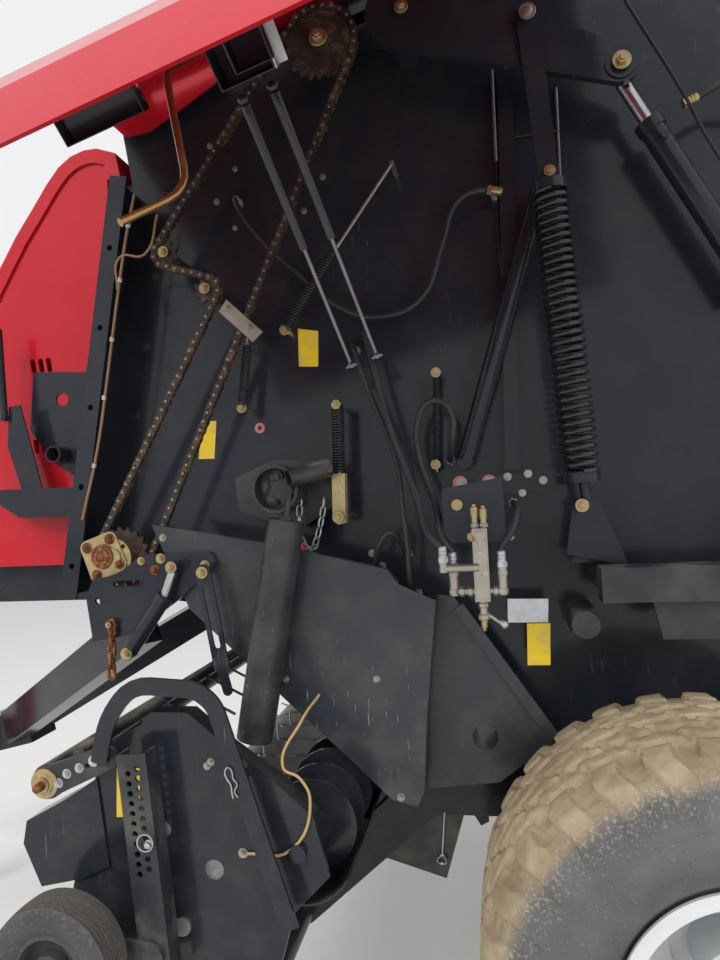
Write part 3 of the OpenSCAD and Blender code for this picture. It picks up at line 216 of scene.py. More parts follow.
def worn_paint(name, colour, shade, gloss, dust, scratches, rust, coat, specular=0.4):
    """Gloss paint with cloudy fading, dust where it settles, fine scratches and a few rusty chips."""
    f = Finish(name, coat=coat, coat_roughness=0.06, specular=specular)
    clouds = f.noise(2.4, 4.0)
    grime = f.noise(11.0, 6.0)
    settled = (f.upward() * 0.8 + 0.22) * grime.step(0.36, 0.72)
    low = 1 - f.height().step(-0.35, 0.75)
    film = (settled * dust + low * grime.step(0.42, 0.7) * (dust * 0.55)).held()
    hair = f.noise(5.0, 2.0, stretch=(70, 70, 2.2), turn=(0.35, 0.2, 0.6)).step(0.69, 0.74)
    hair = hair * f.noise(1.7, 2.0).step(0.5, 0.7) * scratches
    chips = f.noise(42.0, 3.0).step(0.735, 0.76) * f.noise(3.1, 2.0).step(0.5, 0.66) * (rust * 2.2)
    body = f.blend(clouds, colour, shade)
    body = f.blend(film, body, DUST)
    body = f.blend(hair.held(), body, (0.42, 0.42, 0.4))
    body = f.blend(chips.held(), body, f.blend(grime, RUST_DARK, RUST_BRIGHT))
    roughness = (clouds * 0.1 + gloss + film * 0.75 + chips * 0.5).held()
    peel = f.noise(260.0, 2.0) * 0.35 + grime * 0.25 - chips * 0.6 - hair * 0.3
    gloss_coat = (coat - film * 0.9 - chips * coat).held()
    return f.done(body, roughness, peel, depth=0.0006, strength=0.25, coat=gloss_coat)


def plated(name, bright, dull, roughness=0.32, stain=0.5, rust=0.3, spangle=0.3):
    """Zinc plate: a patchy sheen with white bloom, dull stains and rust in places."""
    f = Finish(name, metallic=0.9)
    patches = f.cells(34.0)
    clouds = f.noise(9.0, 5.0)
    bloom = f.noise(70.0, 4.0).step(0.56, 0.7) * stain
    eaten = (f.noise(26.0, 5.0).step(0.6, 0.72) * f.noise(4.3, 2.0).step(0.46, 0.62) * rust * 2).held()
    body = f.blend((clouds + patches * spangle).held(), bright, dull)
    body = f.blend(bloom.held(), body, (0.62, 0.6, 0.55))
    body = f.blend(eaten, body, f.blend(clouds, RUST_DARK, RUST_BRIGHT))
    shine = (roughness + clouds * 0.18 + bloom * 0.25 + eaten * 0.45).held()
    height = patches * 0.3 + clouds * 0.3 + eaten * 0.6
    return f.done(body, shine, height, depth=0.0004, metallic=(0.9 - eaten * 0.8 - bloom * 0.35).held())


def rusted(name, grain=60.0, greased=0.0, dark=RUST_DARK, bright=RUST_BRIGHT):
    """Rust all over: dark pits, orange powder, and a dark film where it is greased."""
    f = Finish(name, metallic=0.25)
    coarse = f.noise(grain, 6.0, roughness=0.7)
    fine = f.noise(grain * 5, 4.0)
    powder = coarse.step(0.42, 0.66)
    film = f.noise(14.0, 3.0).step(0.4, 0.6) * greased
    body = f.blend(powder, dark, bright)
    body = f.blend(fine.step(0.55, 0.75) * 0.4, body, (0.3, 0.2, 0.14))
    body = f.blend(film, body, (0.035, 0.028, 0.024))
    roughness = (0.78 - film * 0.35 + fine * 0.12).held()
    return f.done(body, roughness, coarse * 0.7 + fine * 0.4, depth=0.0012, strength=0.7)


def rubber(name, colour, dusty, dust=0.5, roughness=0.6, grain=130.0):
    """Matt rubber, greyed by age, with dust on its upper side and in fine specks."""
    f = Finish(name, specular=0.35)
    clouds = f.noise(6.0, 5.0)
    fine = f.noise(grain, 4.0)
    settled = (f.upward() * 0.6 + 0.35) * clouds.step(0.3, 0.7) * dust
    film = (settled + fine.step(0.5, 0.8) * dust * 0.3).held()
    body = f.blend(clouds, colour, tuple(c * 1.6 for c in colour))
    body = f.blend(film, body, dusty)
    return f.done(body, (roughness + film * 0.3).held(), fine + clouds * 0.4, depth=0.0008, strength=0.35)


def dusty_tyre(name, axle, clean_r, tread_r, mud, mud_dark, grey, caked=1.0):
    """Tyre rubber: grey and chalky on its side, caked with dry mud from the shoulder outwards."""
    f = Finish(name, specular=0.3)
    clouds = f.noise(7.0, 5.0)
    grains = f.noise(150.0, 5.0)
    blotches = f.noise(30.0, 5.0)
    edge = f.radius_from(*axle) + (blotches - 0.5) * 0.03
    tread = edge.step(clean_r, tread_r)
    speckle = grains.step(0.52, 0.62) * edge.step(clean_r - 0.06, clean_r + 0.02) * 0.55
    cake = ((tread + speckle) * caked).held()
    side = f.blend(clouds.step(0.3, 0.7), grey, tuple(c * 1.5 for c in grey))
    side = f.blend(grains.step(0.6, 0.7) * 0.3, side, mud)
    earth = f.blend((clouds * 0.5 + blotches * 0.5).step(0.36, 0.62), mud, mud_dark)
    body = f.blend(cake, side, earth)
    height = grains * 0.5 + blotches * 0.5
    return f.done(body, (cake * 0.25 + 0.66).held(), height, depth=0.0022, strength=0.6)


def machined(name, colour, roughness=0.14):
    """Turned and polished steel with a thin oil film and fine rings of dirt."""
    f = Finish(name, metallic=1.0)
    film = f.noise(18.0, 4.0)
    lines = f.noise(40.0, 2.0, stretch=(1, 1, 12))
    body = f.blend(film.step(0.45, 0.75) * 0.5, colour, tuple(c * 0.5 for c in colour))
    shine = (roughness + film * 0.16 + lines * 0.06).held()
    return f.done(body, shine, lines, depth=0.0002, strength=0.2)


# Near-black bluish paint: its two tones are partly the paint's own colour and partly a painted sky
# reflection, lifted and tinted blue.
SLATE_AND_PAINTED_SKY = worn_paint(
    "slate_gloss_paint_and_painted_sky", (0.0105, 0.0125, 0.017), (0.019, 0.022, 0.029),
    gloss=0.12, dust=0.08, scratches=0.3, rust=0.25, coat=0.12, specular=0.3
)
SLATE_WORN = worn_paint(
    "slate_worn_paint", (0.013, 0.015, 0.018), (0.028, 0.031, 0.036),
    gloss=0.3, dust=0.4, scratches=0.8, rust=0.7, coat=0.08
)
SLATE_SHIELD = worn_paint(
    "slate_shield_paint", (0.018, 0.021, 0.026), (0.032, 0.036, 0.042),
    gloss=0.24, dust=0.24, scratches=1.0, rust=0.5, coat=0.12
)
RED = worn_paint(
    "red_gloss_paint", (0.47, 0.008, 0.019), (0.37, 0.006, 0.015),
    gloss=0.18, dust=0.05, scratches=0.15, rust=0.08, coat=0.25, specular=0.3
)
SPRING = worn_paint(
    "spring_black", (0.008, 0.009, 0.011), (0.014, 0.015, 0.018),
    gloss=0.16, dust=0.14, scratches=0.2, rust=0.2, coat=0.3
)
RIM = worn_paint(
    "rim_silver", (0.66, 0.67, 0.68), (0.56, 0.57, 0.58),
    gloss=0.3, dust=0.35, scratches=0.3, rust=0.9, coat=0.2
)
YELLOW_ZINC = plated("yellow_zinc", (0.60, 0.46, 0.20), (0.40, 0.31, 0.17), rust=0.5)
BRIGHT_ZINC = plated("bright_zinc", (0.70, 0.71, 0.72), (0.46, 0.47, 0.48), rust=0.25)
WARM_ZINC = plated("warm_zinc", (0.56, 0.52, 0.45), (0.36, 0.33, 0.27), rust=0.5, stain=0.4)
DULL_ZINC = plated("dull_zinc", (0.36, 0.36, 0.36), (0.24, 0.24, 0.24), 0.5, stain=0.6, rust=0.2)
BRONZE = plated("bronze_handle", (0.62, 0.36, 0.14), (0.44, 0.25, 0.10), 0.2, stain=0.15, rust=0.1)
RUSTY = rusted("rusty_steel")
CHAIN_RUST = rusted("rusty_chain", 90.0, 1.0, dark=(0.035, 0.022, 0.015), bright=(0.17, 0.10, 0.06))
OILY_STEEL = rusted("oily_sprocket", 50.0, 0.9, dark=(0.04, 0.03, 0.025), bright=(0.14, 0.085, 0.055))
FADED_RED = rubber("faded_washer", (0.42, 0.13, 0.12), (0.5, 0.4, 0.34), dust=0.35, roughness=0.5)
BLACK_RUBBER = rubber("hose_rubber", (0.016, 0.016, 0.017), (0.22, 0.2, 0.17), dust=0.16, roughness=0.36)
BELT_RUBBER = rubber("belt_rubber", (0.02, 0.02, 0.021), (0.2, 0.18, 0.14), dust=0.45)
PALE_PIPE = rubber("pale_pipe", (0.34, 0.22, 0.09), (0.45, 0.36, 0.22), dust=0.3, roughness=0.4)
BROWN_PIPE = rubber("brown_pipe", (0.16, 0.085, 0.045), (0.34, 0.24, 0.15), dust=0.4, roughness=0.35)
TYRE = dusty_tyre(
    "tyre_rubber", (0.0, 475.0), 0.415, 0.455,
    mud=(0.40, 0.325, 0.215), mud_dark=(0.28, 0.215, 0.135), grey=(0.085, 0.085, 0.088)
)
GAUGE_TYRE = dusty_tyre(
    "gauge_tyre_rubber", (1295.0, 523.0), 0.118, 0.14,
    mud=(0.26, 0.21, 0.15), mud_dark=(0.12, 0.10, 0.08), grey=(0.045, 0.045, 0.047), caked=0.6
)
CHROME = machined("chromed_rod", (0.52, 0.52, 0.53))
STRUT_STEEL = machined("strut_rod_steel", (0.20, 0.205, 0.215), roughness=0.22)
STEEL = machined("bare_steel", (0.36, 0.34, 0.32), roughness=0.36)


def lamp_lens():
    """Red moulded lens with fine ribs."""
    f = Finish("lamp_lens", coat=0.8)
    ribs = f.noise(300.0, 1.0, stretch=(0.02, 1, 0.02))
    film = f.noise(20.0, 4.0).step(0.5, 0.75)
    body = f.blend(film * 0.4, (0.5, 0.012, 0.01), (0.3, 0.1, 0.08))
    return f.done(body, (film * 0.3 + 0.12).held(), ribs, depth=0.0008)


LENS = lamp_lens()

FINISHED_NODES = (
    (SLATE_AND_PAINTED_SKY, (
        "side_walls", "chassis", "drawbar", "gearbox", "wall_brackets", "tension_arms", "spring_links",
        "lift_rams", "gate_walls", "pickup_frame", "hoop_guards", "door_left_fittings",
        "door_right_fittings", "gate_barrels", "side_augers", "feed_rotor", "spring_anchors",
        "tension_cylinders",
    )),
    (SLATE_SHIELD, ("lower_shields",)),
    (SLATE_WORN, ("side_beams", "clutch_hub", "support_tube", "gauge_legs", "windguard")),
    (RED, ("front_box", "front_hood", "roof", "gate_cover", "door_left", "door_right", "jack_tube")),
    (YELLOW_ZINC, ("cross_shaft",)),
    (WARM_ZINC, ("chain_tensioner", "valve_block")),
    (BRIGHT_ZINC, ("reel", "jack_leg")),
    (CHROME, ("gate_rods",)),
    (STRUT_STEEL, ("strut_rods_left", "strut_rods_right")),
    (SPRING, ("strut_barrels_left", "strut_barrels_right", "main_springs", "small_springs")),
    (STEEL, ("stripper_bands", "gate_rollers", "chamber_rollers")),
    (OILY_STEEL, ("chain_sprockets",)),
    (CHAIN_RUST, ("drive_chain",)),
    (RUSTY, ("safety_chain",)),
    (RIM, ("rim_left", "rim_right")),
    (TYRE, ("tyre_left", "tyre_right")),
    (GAUGE_TYRE, ("gauge_wheel_left", "gauge_wheel_right")),
    (BELT_RUBBER, ("front_belts", "gate_belts")),
    (BLACK_RUBBER, ("held_hoses",)),
    (LENS, ("tail_lamps",)),
)

for finish, nodes in FINISHED_NODES:
    for node in nodes:
        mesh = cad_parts[node].data
        mesh.materials.clear()
        mesh.materials.append(finish)


# Stage and light


def plain(name, colour, shown):
    """Floor paint: its own colour for the lamps, with a little of a pale glow."""
    material = bpy.data.materials.new(name)
    material.use_nodes = True
    nodes, links = material.node_tree.nodes, material.node_tree.links
    shader = nodes["Principled BSDF"]
    shader.inputs["Base Color"].default_value = (*colour, 1)
    shader.inputs["Roughness"].default_value = 0.9
    glow = nodes.new("ShaderNodeEmission")
    glow.inputs["Color"].default_value = (*shown, 1)
    mix = nodes.new("ShaderNodeMixShader")
    mix.inputs[0].default_value = 0.35
    links.new(shader.outputs[0], mix.inputs[1])
    links.new(glow.outputs[0], mix.inputs[2])
    links.new(mix.outputs[0], nodes["Material Output"].inputs["Surface"])
    return material


def lay_floor():
    bpy.ops.mesh.primitive_plane_add(size=60, location=(-2.5, 0, FLOOR_Z))
    floor = bpy.context.object
    floor.name = "floor"
    floor.data.materials.append(plain("pale_floor", (0.72, 0.71, 0.69), (0.80, 0.79, 0.77)))


def area_lamp(name, place, target, size, power, colour=(1, 1, 1)):
    data = bpy.data.lights.new(name, "AREA")
    data.energy, data.size, data.color = power, size, colour
    lamp = bpy.data.objects.new(name, data)
    bpy.context.scene.collection.objects.link(lamp)
    lamp.location = place
    lamp.rotation_euler = (Vector(target) - Vector(place)).to_track_quat("-Z", "Y").to_euler()
    lamp.visible_glossy = False


def set_light():
    area_lamp("key", (1.5, 6.5, 6.0), (-2.4, 0.4, 0.9), 4.0, 560, (1.0, 0.98, 0.95))
    area_lamp("fill", (-7.0, 6.0, 3.0), (-2.6, 0.4, 0.9), 5.0, 240, (0.94, 0.97, 1.0))
    area_lamp("top", (-2.5, -1.0, 8.0), (-2.5, 0.0, 0.0), 6.0, 300)
    world = bpy.data.worlds.new("studio")
    bpy.context.scene.world = world
    world.use_nodes = True
    nodes, links = world.node_tree.nodes, world.node_tree.links
    soft = nodes["Background"]
    soft.inputs["Color"].default_value = (0.90, 0.94, 1.0, 1)
    soft.inputs["Strength"].default_value = 0.58
    pale = nodes.new("ShaderNodeBackground")
    pale.inputs["Color"].default_value = (0.87, 0.88, 0.89, 1)
    pale.inputs["Strength"].default_value = 1.0
    ray = nodes.new("ShaderNodeLightPath")
    shown = ray.outputs["Is Camera Ray"]
    for kind in ("Is Transmission Ray", "Is Glossy Ray"):
        either = nodes.new("ShaderNodeMath")
        either.operation = "MAXIMUM"
        links.new(shown, either.inputs[0])
        links.new(ray.outputs[kind], either.inputs[1])
        shown = either.outputs[0]
    mix = nodes.new("ShaderNodeMixShader")
    links.new(shown, mix.inputs[0])
    links.new(soft.outputs[0], mix.inputs[1])
    links.new(pale.outputs[0], mix.inputs[2])
    links.new(mix.outputs[0], nodes["World Output"].inputs["Surface"])


lay_floor()
set_light()


# Making pieces


def deselect():
    if bpy.context.object is not None and bpy.context.object.mode != "OBJECT":
        bpy.ops.object.mode_set(mode="OBJECT")
    bpy.ops.object.select_all(action="DESELECT")


def started(name):
    """The primitive that was just added, named and with its place in its mesh."""
    piece = bpy.context.object
    piece.name = name
    bpy.ops.object.transform_apply(location=True, rotation=True, scale=True)
    return piece


def cylinder(name, radius, length, sides=32):
    """Upright cylinder, standing on the origin. Sizes in millimetres."""
    deselect()
    bpy.ops.mesh.primitive_cylinder_add(
        vertices=sides, radius=radius / 1000, depth=length / 1000, location=(0, 0, length / 2000)
    )
    return started(name)


def choose(piece):
    """Makes the piece the active one and the only selected one."""
    deselect()
    piece.select_set(True)
    bpy.context.view_layer.objects.active = piece


def pick_faces(piece, way=0):
    """Selects in edit mode the faces that look up (way 1) or down (way -1), or all of them."""
    choose(piece)
    bpy.ops.object.mode_set(mode="EDIT")
    bpy.ops.mesh.select_mode(type="FACE")
    bpy.ops.mesh.select_all(action="DESELECT")
    bpy.ops.object.mode_set(mode="OBJECT")
    for face in piece.data.polygons:
        face.select = way == 0 or face.normal.z * way > 0.9
    bpy.ops.object.mode_set(mode="EDIT")


def pull_faces(piece, way, inset, height):
    """Insets the faces that look up or down, then moves them along their normal."""
    pick_faces(piece, way)
    bpy.ops.mesh.inset(thickness=inset / 1000)
    bpy.ops.mesh.extrude_region_shrink_fatten(TRANSFORM_OT_shrink_fatten={"value": height / 1000})
    bpy.ops.object.mode_set(mode="OBJECT")
    return piece


def outward(piece):
    """Merges points closer than 0.02 mm and turns all faces outwards."""
    pick_faces(piece)
    bpy.ops.mesh.remove_doubles(threshold=0.00002)
    bpy.ops.mesh.normals_make_consistent(inside=False)
    bpy.ops.object.mode_set(mode="OBJECT")
    return piece


def finished(piece, *modifiers):
    """Adds modifiers, each a type with its settings, and applies them."""
    choose(piece)
    for kind, settings in modifiers:
        bpy.ops.object.modifier_add(type=kind)
        modifier = piece.modifiers[-1]
        for name, setting in settings.items():
            setattr(modifier, name, setting)
        bpy.ops.object.modifier_apply(modifier=modifier.name)
    return piece


def softened(piece, width, segments=2, angle=35):
    """Rounds the piece's edges by a bevel, with its width in millimetres."""
    settings = {"width": width / 1000, "segments": segments, "angle_limit": math.radians(angle)}
    return finished(piece, ("BEVEL", {"limit_method": "ANGLE", **settings}))


def smooth(piece, angle=40):
    choose(piece)
    bpy.ops.object.shade_smooth_by_angle(angle=math.radians(angle))
    return piece


def plate(name, outline, thickness):
    """Flat plate of an outline of x and y in millimetres, standing on the plane z = 0."""
    deselect()
    bpy.ops.mesh.primitive_circle_add(vertices=len(outline), radius=1, fill_type="NGON")
    piece = started(name)
    for vertex, (x, y) in zip(piece.data.vertices, outline):
        vertex.co = (x / 1000, y / 1000, 0)
    pick_faces(piece)
    bpy.ops.mesh.extrude_region_move(TRANSFORM_OT_translate={"value": (0, 0, thickness / 1000)})
    bpy.ops.object.mode_set(mode="OBJECT")
    return outward(piece)


def circle_points(radius, count, centre=(0, 0), start=0.0, sweep=360.0):
    steps = count if abs(sweep) == 360 else count - 1
    angles = [math.radians(start + sweep * k / steps) for k in range(count)]
    return [(centre[0] + radius * math.cos(a), centre[1] + radius * math.sin(a)) for a in angles]


def lathe(name, profile, sides=48):
    """Solid of revolution about z: profile of radius and height in millimetres, closed by itself."""
    deselect()
    bpy.ops.mesh.primitive_circle_add(vertices=len(profile), radius=1, fill_type="NOTHING")
    piece = started(name)
    for vertex, (radius, height) in zip(piece.data.vertices, profile):
        vertex.co = (radius / 1000, 0, height / 1000)
    pick_faces(piece)
    bpy.ops.mesh.select_all(action="SELECT")
    bpy.ops.mesh.spin(steps=sides, angle=math.tau, center=(0, 0, 0), axis=(0, 0, 1), use_auto_merge=True)
    bpy.ops.object.mode_set(mode="OBJECT")
    return outward(piece)


def coil(name, radius, wire, turns, length, sides=10, steps=20):
    """Helical spring about z, from z = 0 upwards."""
    deselect()
    bpy.ops.mesh.primitive_circle_add(vertices=sides, radius=wire / 1000, fill_type="NGON")
    piece = started(name)
    for vertex in piece.data.vertices:
        x, y = vertex.co[:2]
        vertex.co = (radius / 1000 + x, 0, y)
    rounds = int(steps * turns)
    settings = {"axis": "Z", "screw_offset": length / 1000, "iterations": 1, "angle": math.tau * turns}
    return outward(finished(piece, ("SCREW", {"steps": rounds, "render_steps": rounds, **settings})))


def round_curve(name, radius, sides):
    """Empty curve whose section is a capped circle, in millimetres."""
    data = bpy.data.curves.new(name, "CURVE")
    data.dimensions = "3D"
    data.bevel_depth = radius / 1000
    data.bevel_resolution = max(1, sides // 4 - 1)
    data.use_fill_caps = True
    return data


def as_mesh(data):
    """The curve's tube as a piece of its own."""
    piece = bpy.data.objects.new(data.name, data)
    bpy.context.scene.collection.objects.link(piece)
    choose(piece)
    bpy.ops.object.convert(target="MESH")
    return smooth(bpy.context.object, 60)


def tube(name, points, radius, sides=12, resolution=4, closed=False):
    """Round tube along a smooth curve through the points, in millimetres of the machine's drawing."""
    data = round_curve(name, radius, sides)
    spline = data.splines.new("BEZIER")
    spline.bezier_points.add(len(points) - 1)
    for knot, point in zip(spline.bezier_points, points):
        knot.co = at(*point)
        knot.handle_left_type = knot.handle_right_type = "AUTO"
    spline.resolution_u = resolution
    spline.use_cyclic_u = closed
    return as_mesh(data)


def bent_rod(name, points, radius, bend=30.0, sides=12):
    """Round rod that runs straight between its points and turns in short round bends."""
    path = [Vector(points[0])]
    for before, corner, after in zip(points, points[1:], points[2:]):
        before, corner, after = Vector(before), Vector(corner), Vector(after)
        into, out = (before - corner), (after - corner)
        reach = min(bend, into.length * 0.45, out.length * 0.45)
        start, end = corner + into.normalized() * reach, corner + out.normalized() * reach
        path += [start.lerp(corner, t).lerp(corner.lerp(end, t), t) for t in (0.0, 0.25, 0.5, 0.75, 1.0)]
    path.append(Vector(points[-1]))
    data = round_curve(name, radius, sides)
    spline = data.splines.new("POLY")
    spline.points.add(len(path) - 1)
    for knot, point in zip(spline.points, path):
        knot.co = (*at(*point), 1)
    return as_mesh(data)


def hoop(name, centre, radius, wire, knots, sides):
    """Ring of round wire in the machine's lengthwise plane."""
    x, y, z = centre
    points = [(x + ahead, y, z + above) for ahead, above in circle_points(radius, knots)]
    return tube(name, points, wire, sides=sides, closed=True)


def lifted(piece, height):
    piece.data.transform(Matrix.Translation((0, 0, height / 1000)))
    return piece


def shifted(piece, x):
    piece.data.transform(Matrix.Translation((x / 1000, 0, 0)))
    return piece


def spot(place, direction=(0, 1, 0), spin=0.0, scale=1.0):
    """Matrix from the origin to a place: the z axis goes to the direction, after a spin in degrees."""
    turn = Vector(direction).normalized().to_track_quat("Z", "Y").to_matrix().to_4x4()
    spun = turn @ Matrix.Rotation(math.radians(spin), 4, "Z")
    return Matrix.Translation(at(*place)) @ spun @ Matrix.Scale(scale, 4)


def put(piece, place, direction=(0, 1, 0)):
    """Moves a piece that was made at the origin to its place on the machine, in its mesh."""
    piece.data.transform(spot(place, direction))
    return piece


def joined(name, parts):
    deselect()
    for part in parts:
        part.select_set(True)
    bpy.context.view_layer.objects.active = parts[0]
    if len(parts) > 1:
        bpy.ops.object.join()
    bpy.context.object.name = name
    return bpy.context.object


def stamped(name, source, matrices):
    """One object made of a copy of the source at each matrix. The source goes."""
    mesh = bmesh.new()
    for matrix in matrices:
        copy = source.data.copy()
        copy.transform(matrix)
        if matrix.determinant() < 0:
            copy.flip_normals()
        mesh.from_mesh(copy)
        bpy.data.meshes.remove(copy)
    mesh.to_mesh(source.data)
    mesh.free()
    source.name = name
    return source


def mirrored(piece, name):
    """A copy on the other side of the centreline, with its own mesh."""
    copy = piece.copy()
    copy.data = piece.data.copy()
    copy.data.transform(Matrix.Diagonal((1, -1, 1, 1)))
    copy.data.flip_normals()
    copy.name = name
    bpy.context.scene.collection.objects.link(copy)
    return copy


def fitted(piece, material, body="root", slot="slate_paint", replaces=()):
    """Gives a piece its finish and its body, and names the nodes that it stands for. Its slot is not
    used.
    """
    piece.data.materials.clear()
    piece.data.materials.append(material)
    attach(piece, body)
    if replaces:
        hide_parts(*replaces)


def both_sides(piece, material, **fitting):
    """Fits a left piece and its mirror image on the right."""
    fitted(piece, material, **fitting)
    fitted(mirrored(piece, piece.name + "_right"), material, **fitting)


def block(name, low, high):
    """Box between two corners of a local frame, in millimetres."""
    deselect()
    centre = [(a + b) / 2000 for a, b in zip(low, high)]
    bpy.ops.mesh.primitive_cube_add(size=1, location=centre)
    bpy.context.object.scale = [(b - a) / 1000 for a, b in zip(low, high)]
    return started(name)


def rounded_outline(corners, radius, steps=6):
    """Outline at a distance round the corners, which go round anticlockwise."""
    outline = []
    for i, corner in enumerate(corners):
        before, after = Vector(corners[i - 1]), Vector(corners[(i + 1) % len(corners)])
        into, out = Vector(corner) - before, after - Vector(corner)
        start = math.degrees(math.atan2(-into.x, into.y))
        sweep = math.degrees(math.atan2(-out.x, out.y)) - start
        outline += circle_points(radius, steps, corner, start, sweep % 360)
    return outline


def upright_plate(name, corners, y, thickness, bevel=0.0):
    """Plate in the machine's lengthwise plane: corners of x and z, from y outwards."""
    piece = plate(name, corners, thickness)
    piece.data.transform(Matrix(((1, 0, 0, 0), (0, 0, -1, 0), (0, 1, 0, 0), (0, 0, 0, 1))))
    piece.data.transform(Matrix.Translation(at(0, y + thickness, 0)))
    outward(piece)
    return softened(piece, bevel, 2) if bevel else piece


# Drive chain

CHAIN_Y = 720.0
CHAIN_PITCH = 25.4
# Sprockets: x, z, pitch radius, +1 inside the loop or -1 outside it
SPROCKETS = [(1405, 1285, 77, 1), (1126, 1991, 34, -1), (1239, 2102, 34, 1), (781, 2609, 93, 1)]


def run_direction(first, second):
    dx, dz = second[0] - first[0], second[1] - first[1]
    lean = (second[3] * second[2] - first[3] * first[2]) / math.hypot(dx, dz)
    return math.atan2(dz, dx) - math.asin(lean)


def chain_course(steps=40):
    """Closed line of the chain's pins round the sprockets."""
    course = []
    count = len(SPROCKETS)
    for i, (x, z, radius, side) in enumerate(SPROCKETS):
        into = run_direction(SPROCKETS[i - 1], SPROCKETS[i]) - side * math.pi / 2
        out = run_direction(SPROCKETS[i], SPROCKETS[(i + 1) % count]) - side * math.pi / 2
        sweep = (out - into) % math.tau
        if side < 0:
            sweep -= math.tau
        for k in range(steps + 1):
            angle = into + sweep * k / steps
            course.append(Vector((x + radius * math.cos(angle), z + radius * math.sin(angle))))
    return course


def evenly(course, pitch):
    """Points at even steps, near the pitch, along a closed line, an even number of them."""
    closed = course + [course[0]]
    lengths = [0.0]
    for a, b in zip(closed, closed[1:]):
        lengths.append(lengths[-1] + (b - a).length)
    count = 2 * round(lengths[-1] / pitch / 2)
    points, k = [], 0
    for i in range(count):
        want = lengths[-1] * i / count
        while lengths[k + 1] < want:
            k += 1
        share = (want - lengths[k]) / max(lengths[k + 1] - lengths[k], 1e-9)
        points.append(closed[k].lerp(closed[k + 1], share))
    return points


def link_plate(name, half=10.4, waist=8.2, thickness=2.2):
    """Waisted plate of a roller chain's link, with its pins at x = 0 and x = one pitch."""
    ends = circle_points(half, 7, (CHAIN_PITCH, 0), -75, 150)
    starts = circle_points(half, 7, (0, 0), 105, 150)
    middle = CHAIN_PITCH / 2
    return plate(name, [(middle, -waist), *ends, (middle, waist), *starts], thickness)


def make_chain():
    pins = evenly(chain_course(), CHAIN_PITCH)
    outer, inner = [], []
    for i, pin in enumerate(pins):
        ahead = pins[(i + 1) % len(pins)]
        along = (ahead - pin).normalized()
        turn = Matrix(((along.x, -along.y, 0, 0), (0, 0, -1, 0), (along.y, along.x, 0, 0), (0, 0, 0, 1)))
        base = Matrix.Translation(at(pin.x, CHAIN_Y, pin.y)) @ turn
        (outer if i % 2 else inner).append(base)
    outside = joined("link", [lifted(link_plate("plate"), height) for height in (7.2, -9.4)])
    inside = joined("link", [lifted(link_plate("plate"), height) for height in (4.6, -6.8)])
    rollers = [lifted(cylinder("roller", 7.9, 9.2, 12), -4.6) for k in range(2)]
    heads = [lifted(softened(cylinder("pin", 4.4, 24.6, 10), 0.9, 1), -12.3) for k in range(2)]
    shifted(rollers[1], CHAIN_PITCH)
    shifted(heads[1], CHAIN_PITCH)
    links = stamped("chain_links", outside, outer)
    inner_links = stamped("chain_rollers", joined("inner", [inside, *rollers]), inner)
    chain = joined("roller_chain", [links, inner_links])
    fitted(smooth(chain), CHAIN_RUST, slot="rusty_chain", replaces=("drive_chain",))
    pin_heads = stamped("chain_pin_heads", joined("pin", heads), outer)
    fitted(smooth(pin_heads), STEEL, slot="bright_steel")


make_chain()


# Springs: lower end, upper end, coil radius, wire radius, turns
MAIN_SPRING = ((190, 750, 1447), (226, 750, 2125), 38.5, 6.5, 35)
SMALL_COILS = {
    "door_lift_spring": ((925, 680, 1873), (777, 680, 2073), 12.0, 2.8, 34),
    "idler_spring": ((1057, 680, 1672), (1034, 680, 1842), 10.5, 2.4, 28),
    "clutch_spring": ((788, 716, 1481), (784, 716, 1655), 14.0, 3.0, 24),
    "trip_spring": ((541, 640, 1488), (528, 640, 1725), 9.5, 2.3, 44),
}
# Thin rods of the small springs: their ends and radius
SPRING_RODS = [
    ((777, 680, 2073), (613, 680, 2283), 4.6), ((1034, 680, 1842), (1034, 680, 1860), 3.0),
    ((788, 716, 1485), (790, 716, 1440), 6.5), ((541, 640, 1488), (541, 640, 1470), 3.0),
    ((925, 606, 1873), (925, 684, 1873), 6.5), ((613, 606, 2283), (613, 684, 2283), 6.5),
    ((1034, 606, 1842), (1034, 684, 1842), 6.5), ((1057, 606, 1672), (1057, 684, 1672), 6.5),
    ((541, 606, 1488), (541, 684, 1488), 6.5), ((528, 606, 1725), (528, 684, 1725), 6.5),
    ((784, 606, 1655), (784, 732, 1655), 6.5), ((791, 606, 1366), (791, 740, 1366), 10.5),
]
# Corners of the plates that hold the clutch spring's foot: x, z
CLEVIS = [(770, 1478), (775, 1350), (795, 1346), (809, 1358), (806, 1478)]


def stretched_coil(name, low, high, radius, wire, turns, sides=10, steps=20):
    """Helical spring between two points of the machine's drawing."""
    span = Vector(high) - Vector(low)
    return smooth(put(coil(name, radius, wire, turns, span.length, sides, steps), low, span), 60)


def make_springs():
    spring = stretched_coil("main_spring", *MAIN_SPRING)
    both_sides(spring, SPRING, slot="spring_steel", replaces=("main_springs",))
    for name, measures in SMALL_COILS.items():
        spring = stretched_coil(name, *measures, sides=8, steps=14)
        fitted(spring, SPRING, slot="zinc_plate", replaces=("small_springs",))
    rods = [bent_rod("rod", [low, high], radius, sides=16) for low, high, radius in SPRING_RODS]
    rods = smooth(joined("spring_rods", rods), 40)
    fitted(rods, WARM_ZINC, slot="zinc_plate", replaces=("small_springs",))
    cheeks = [upright_plate("clevis", CLEVIS, WALL_Y + out, 6, 0.8) for out in (96, 118)]
    clevis = joined("spring_clevis", cheeks)
    fitted(clevis, YELLOW_ZINC, slot="zinc_plate", replaces=("small_springs",))


make_springs()


# Tyres

AXLE = (0.0, 475.0)
TYRE_Y = 985.0
LUGS = 29
# Distances along the section: the middle ribs' end and width, and the shoulder lugs' end
RIBS_END, RIB_WIDTH, TREAD_END = 112, 56, 330
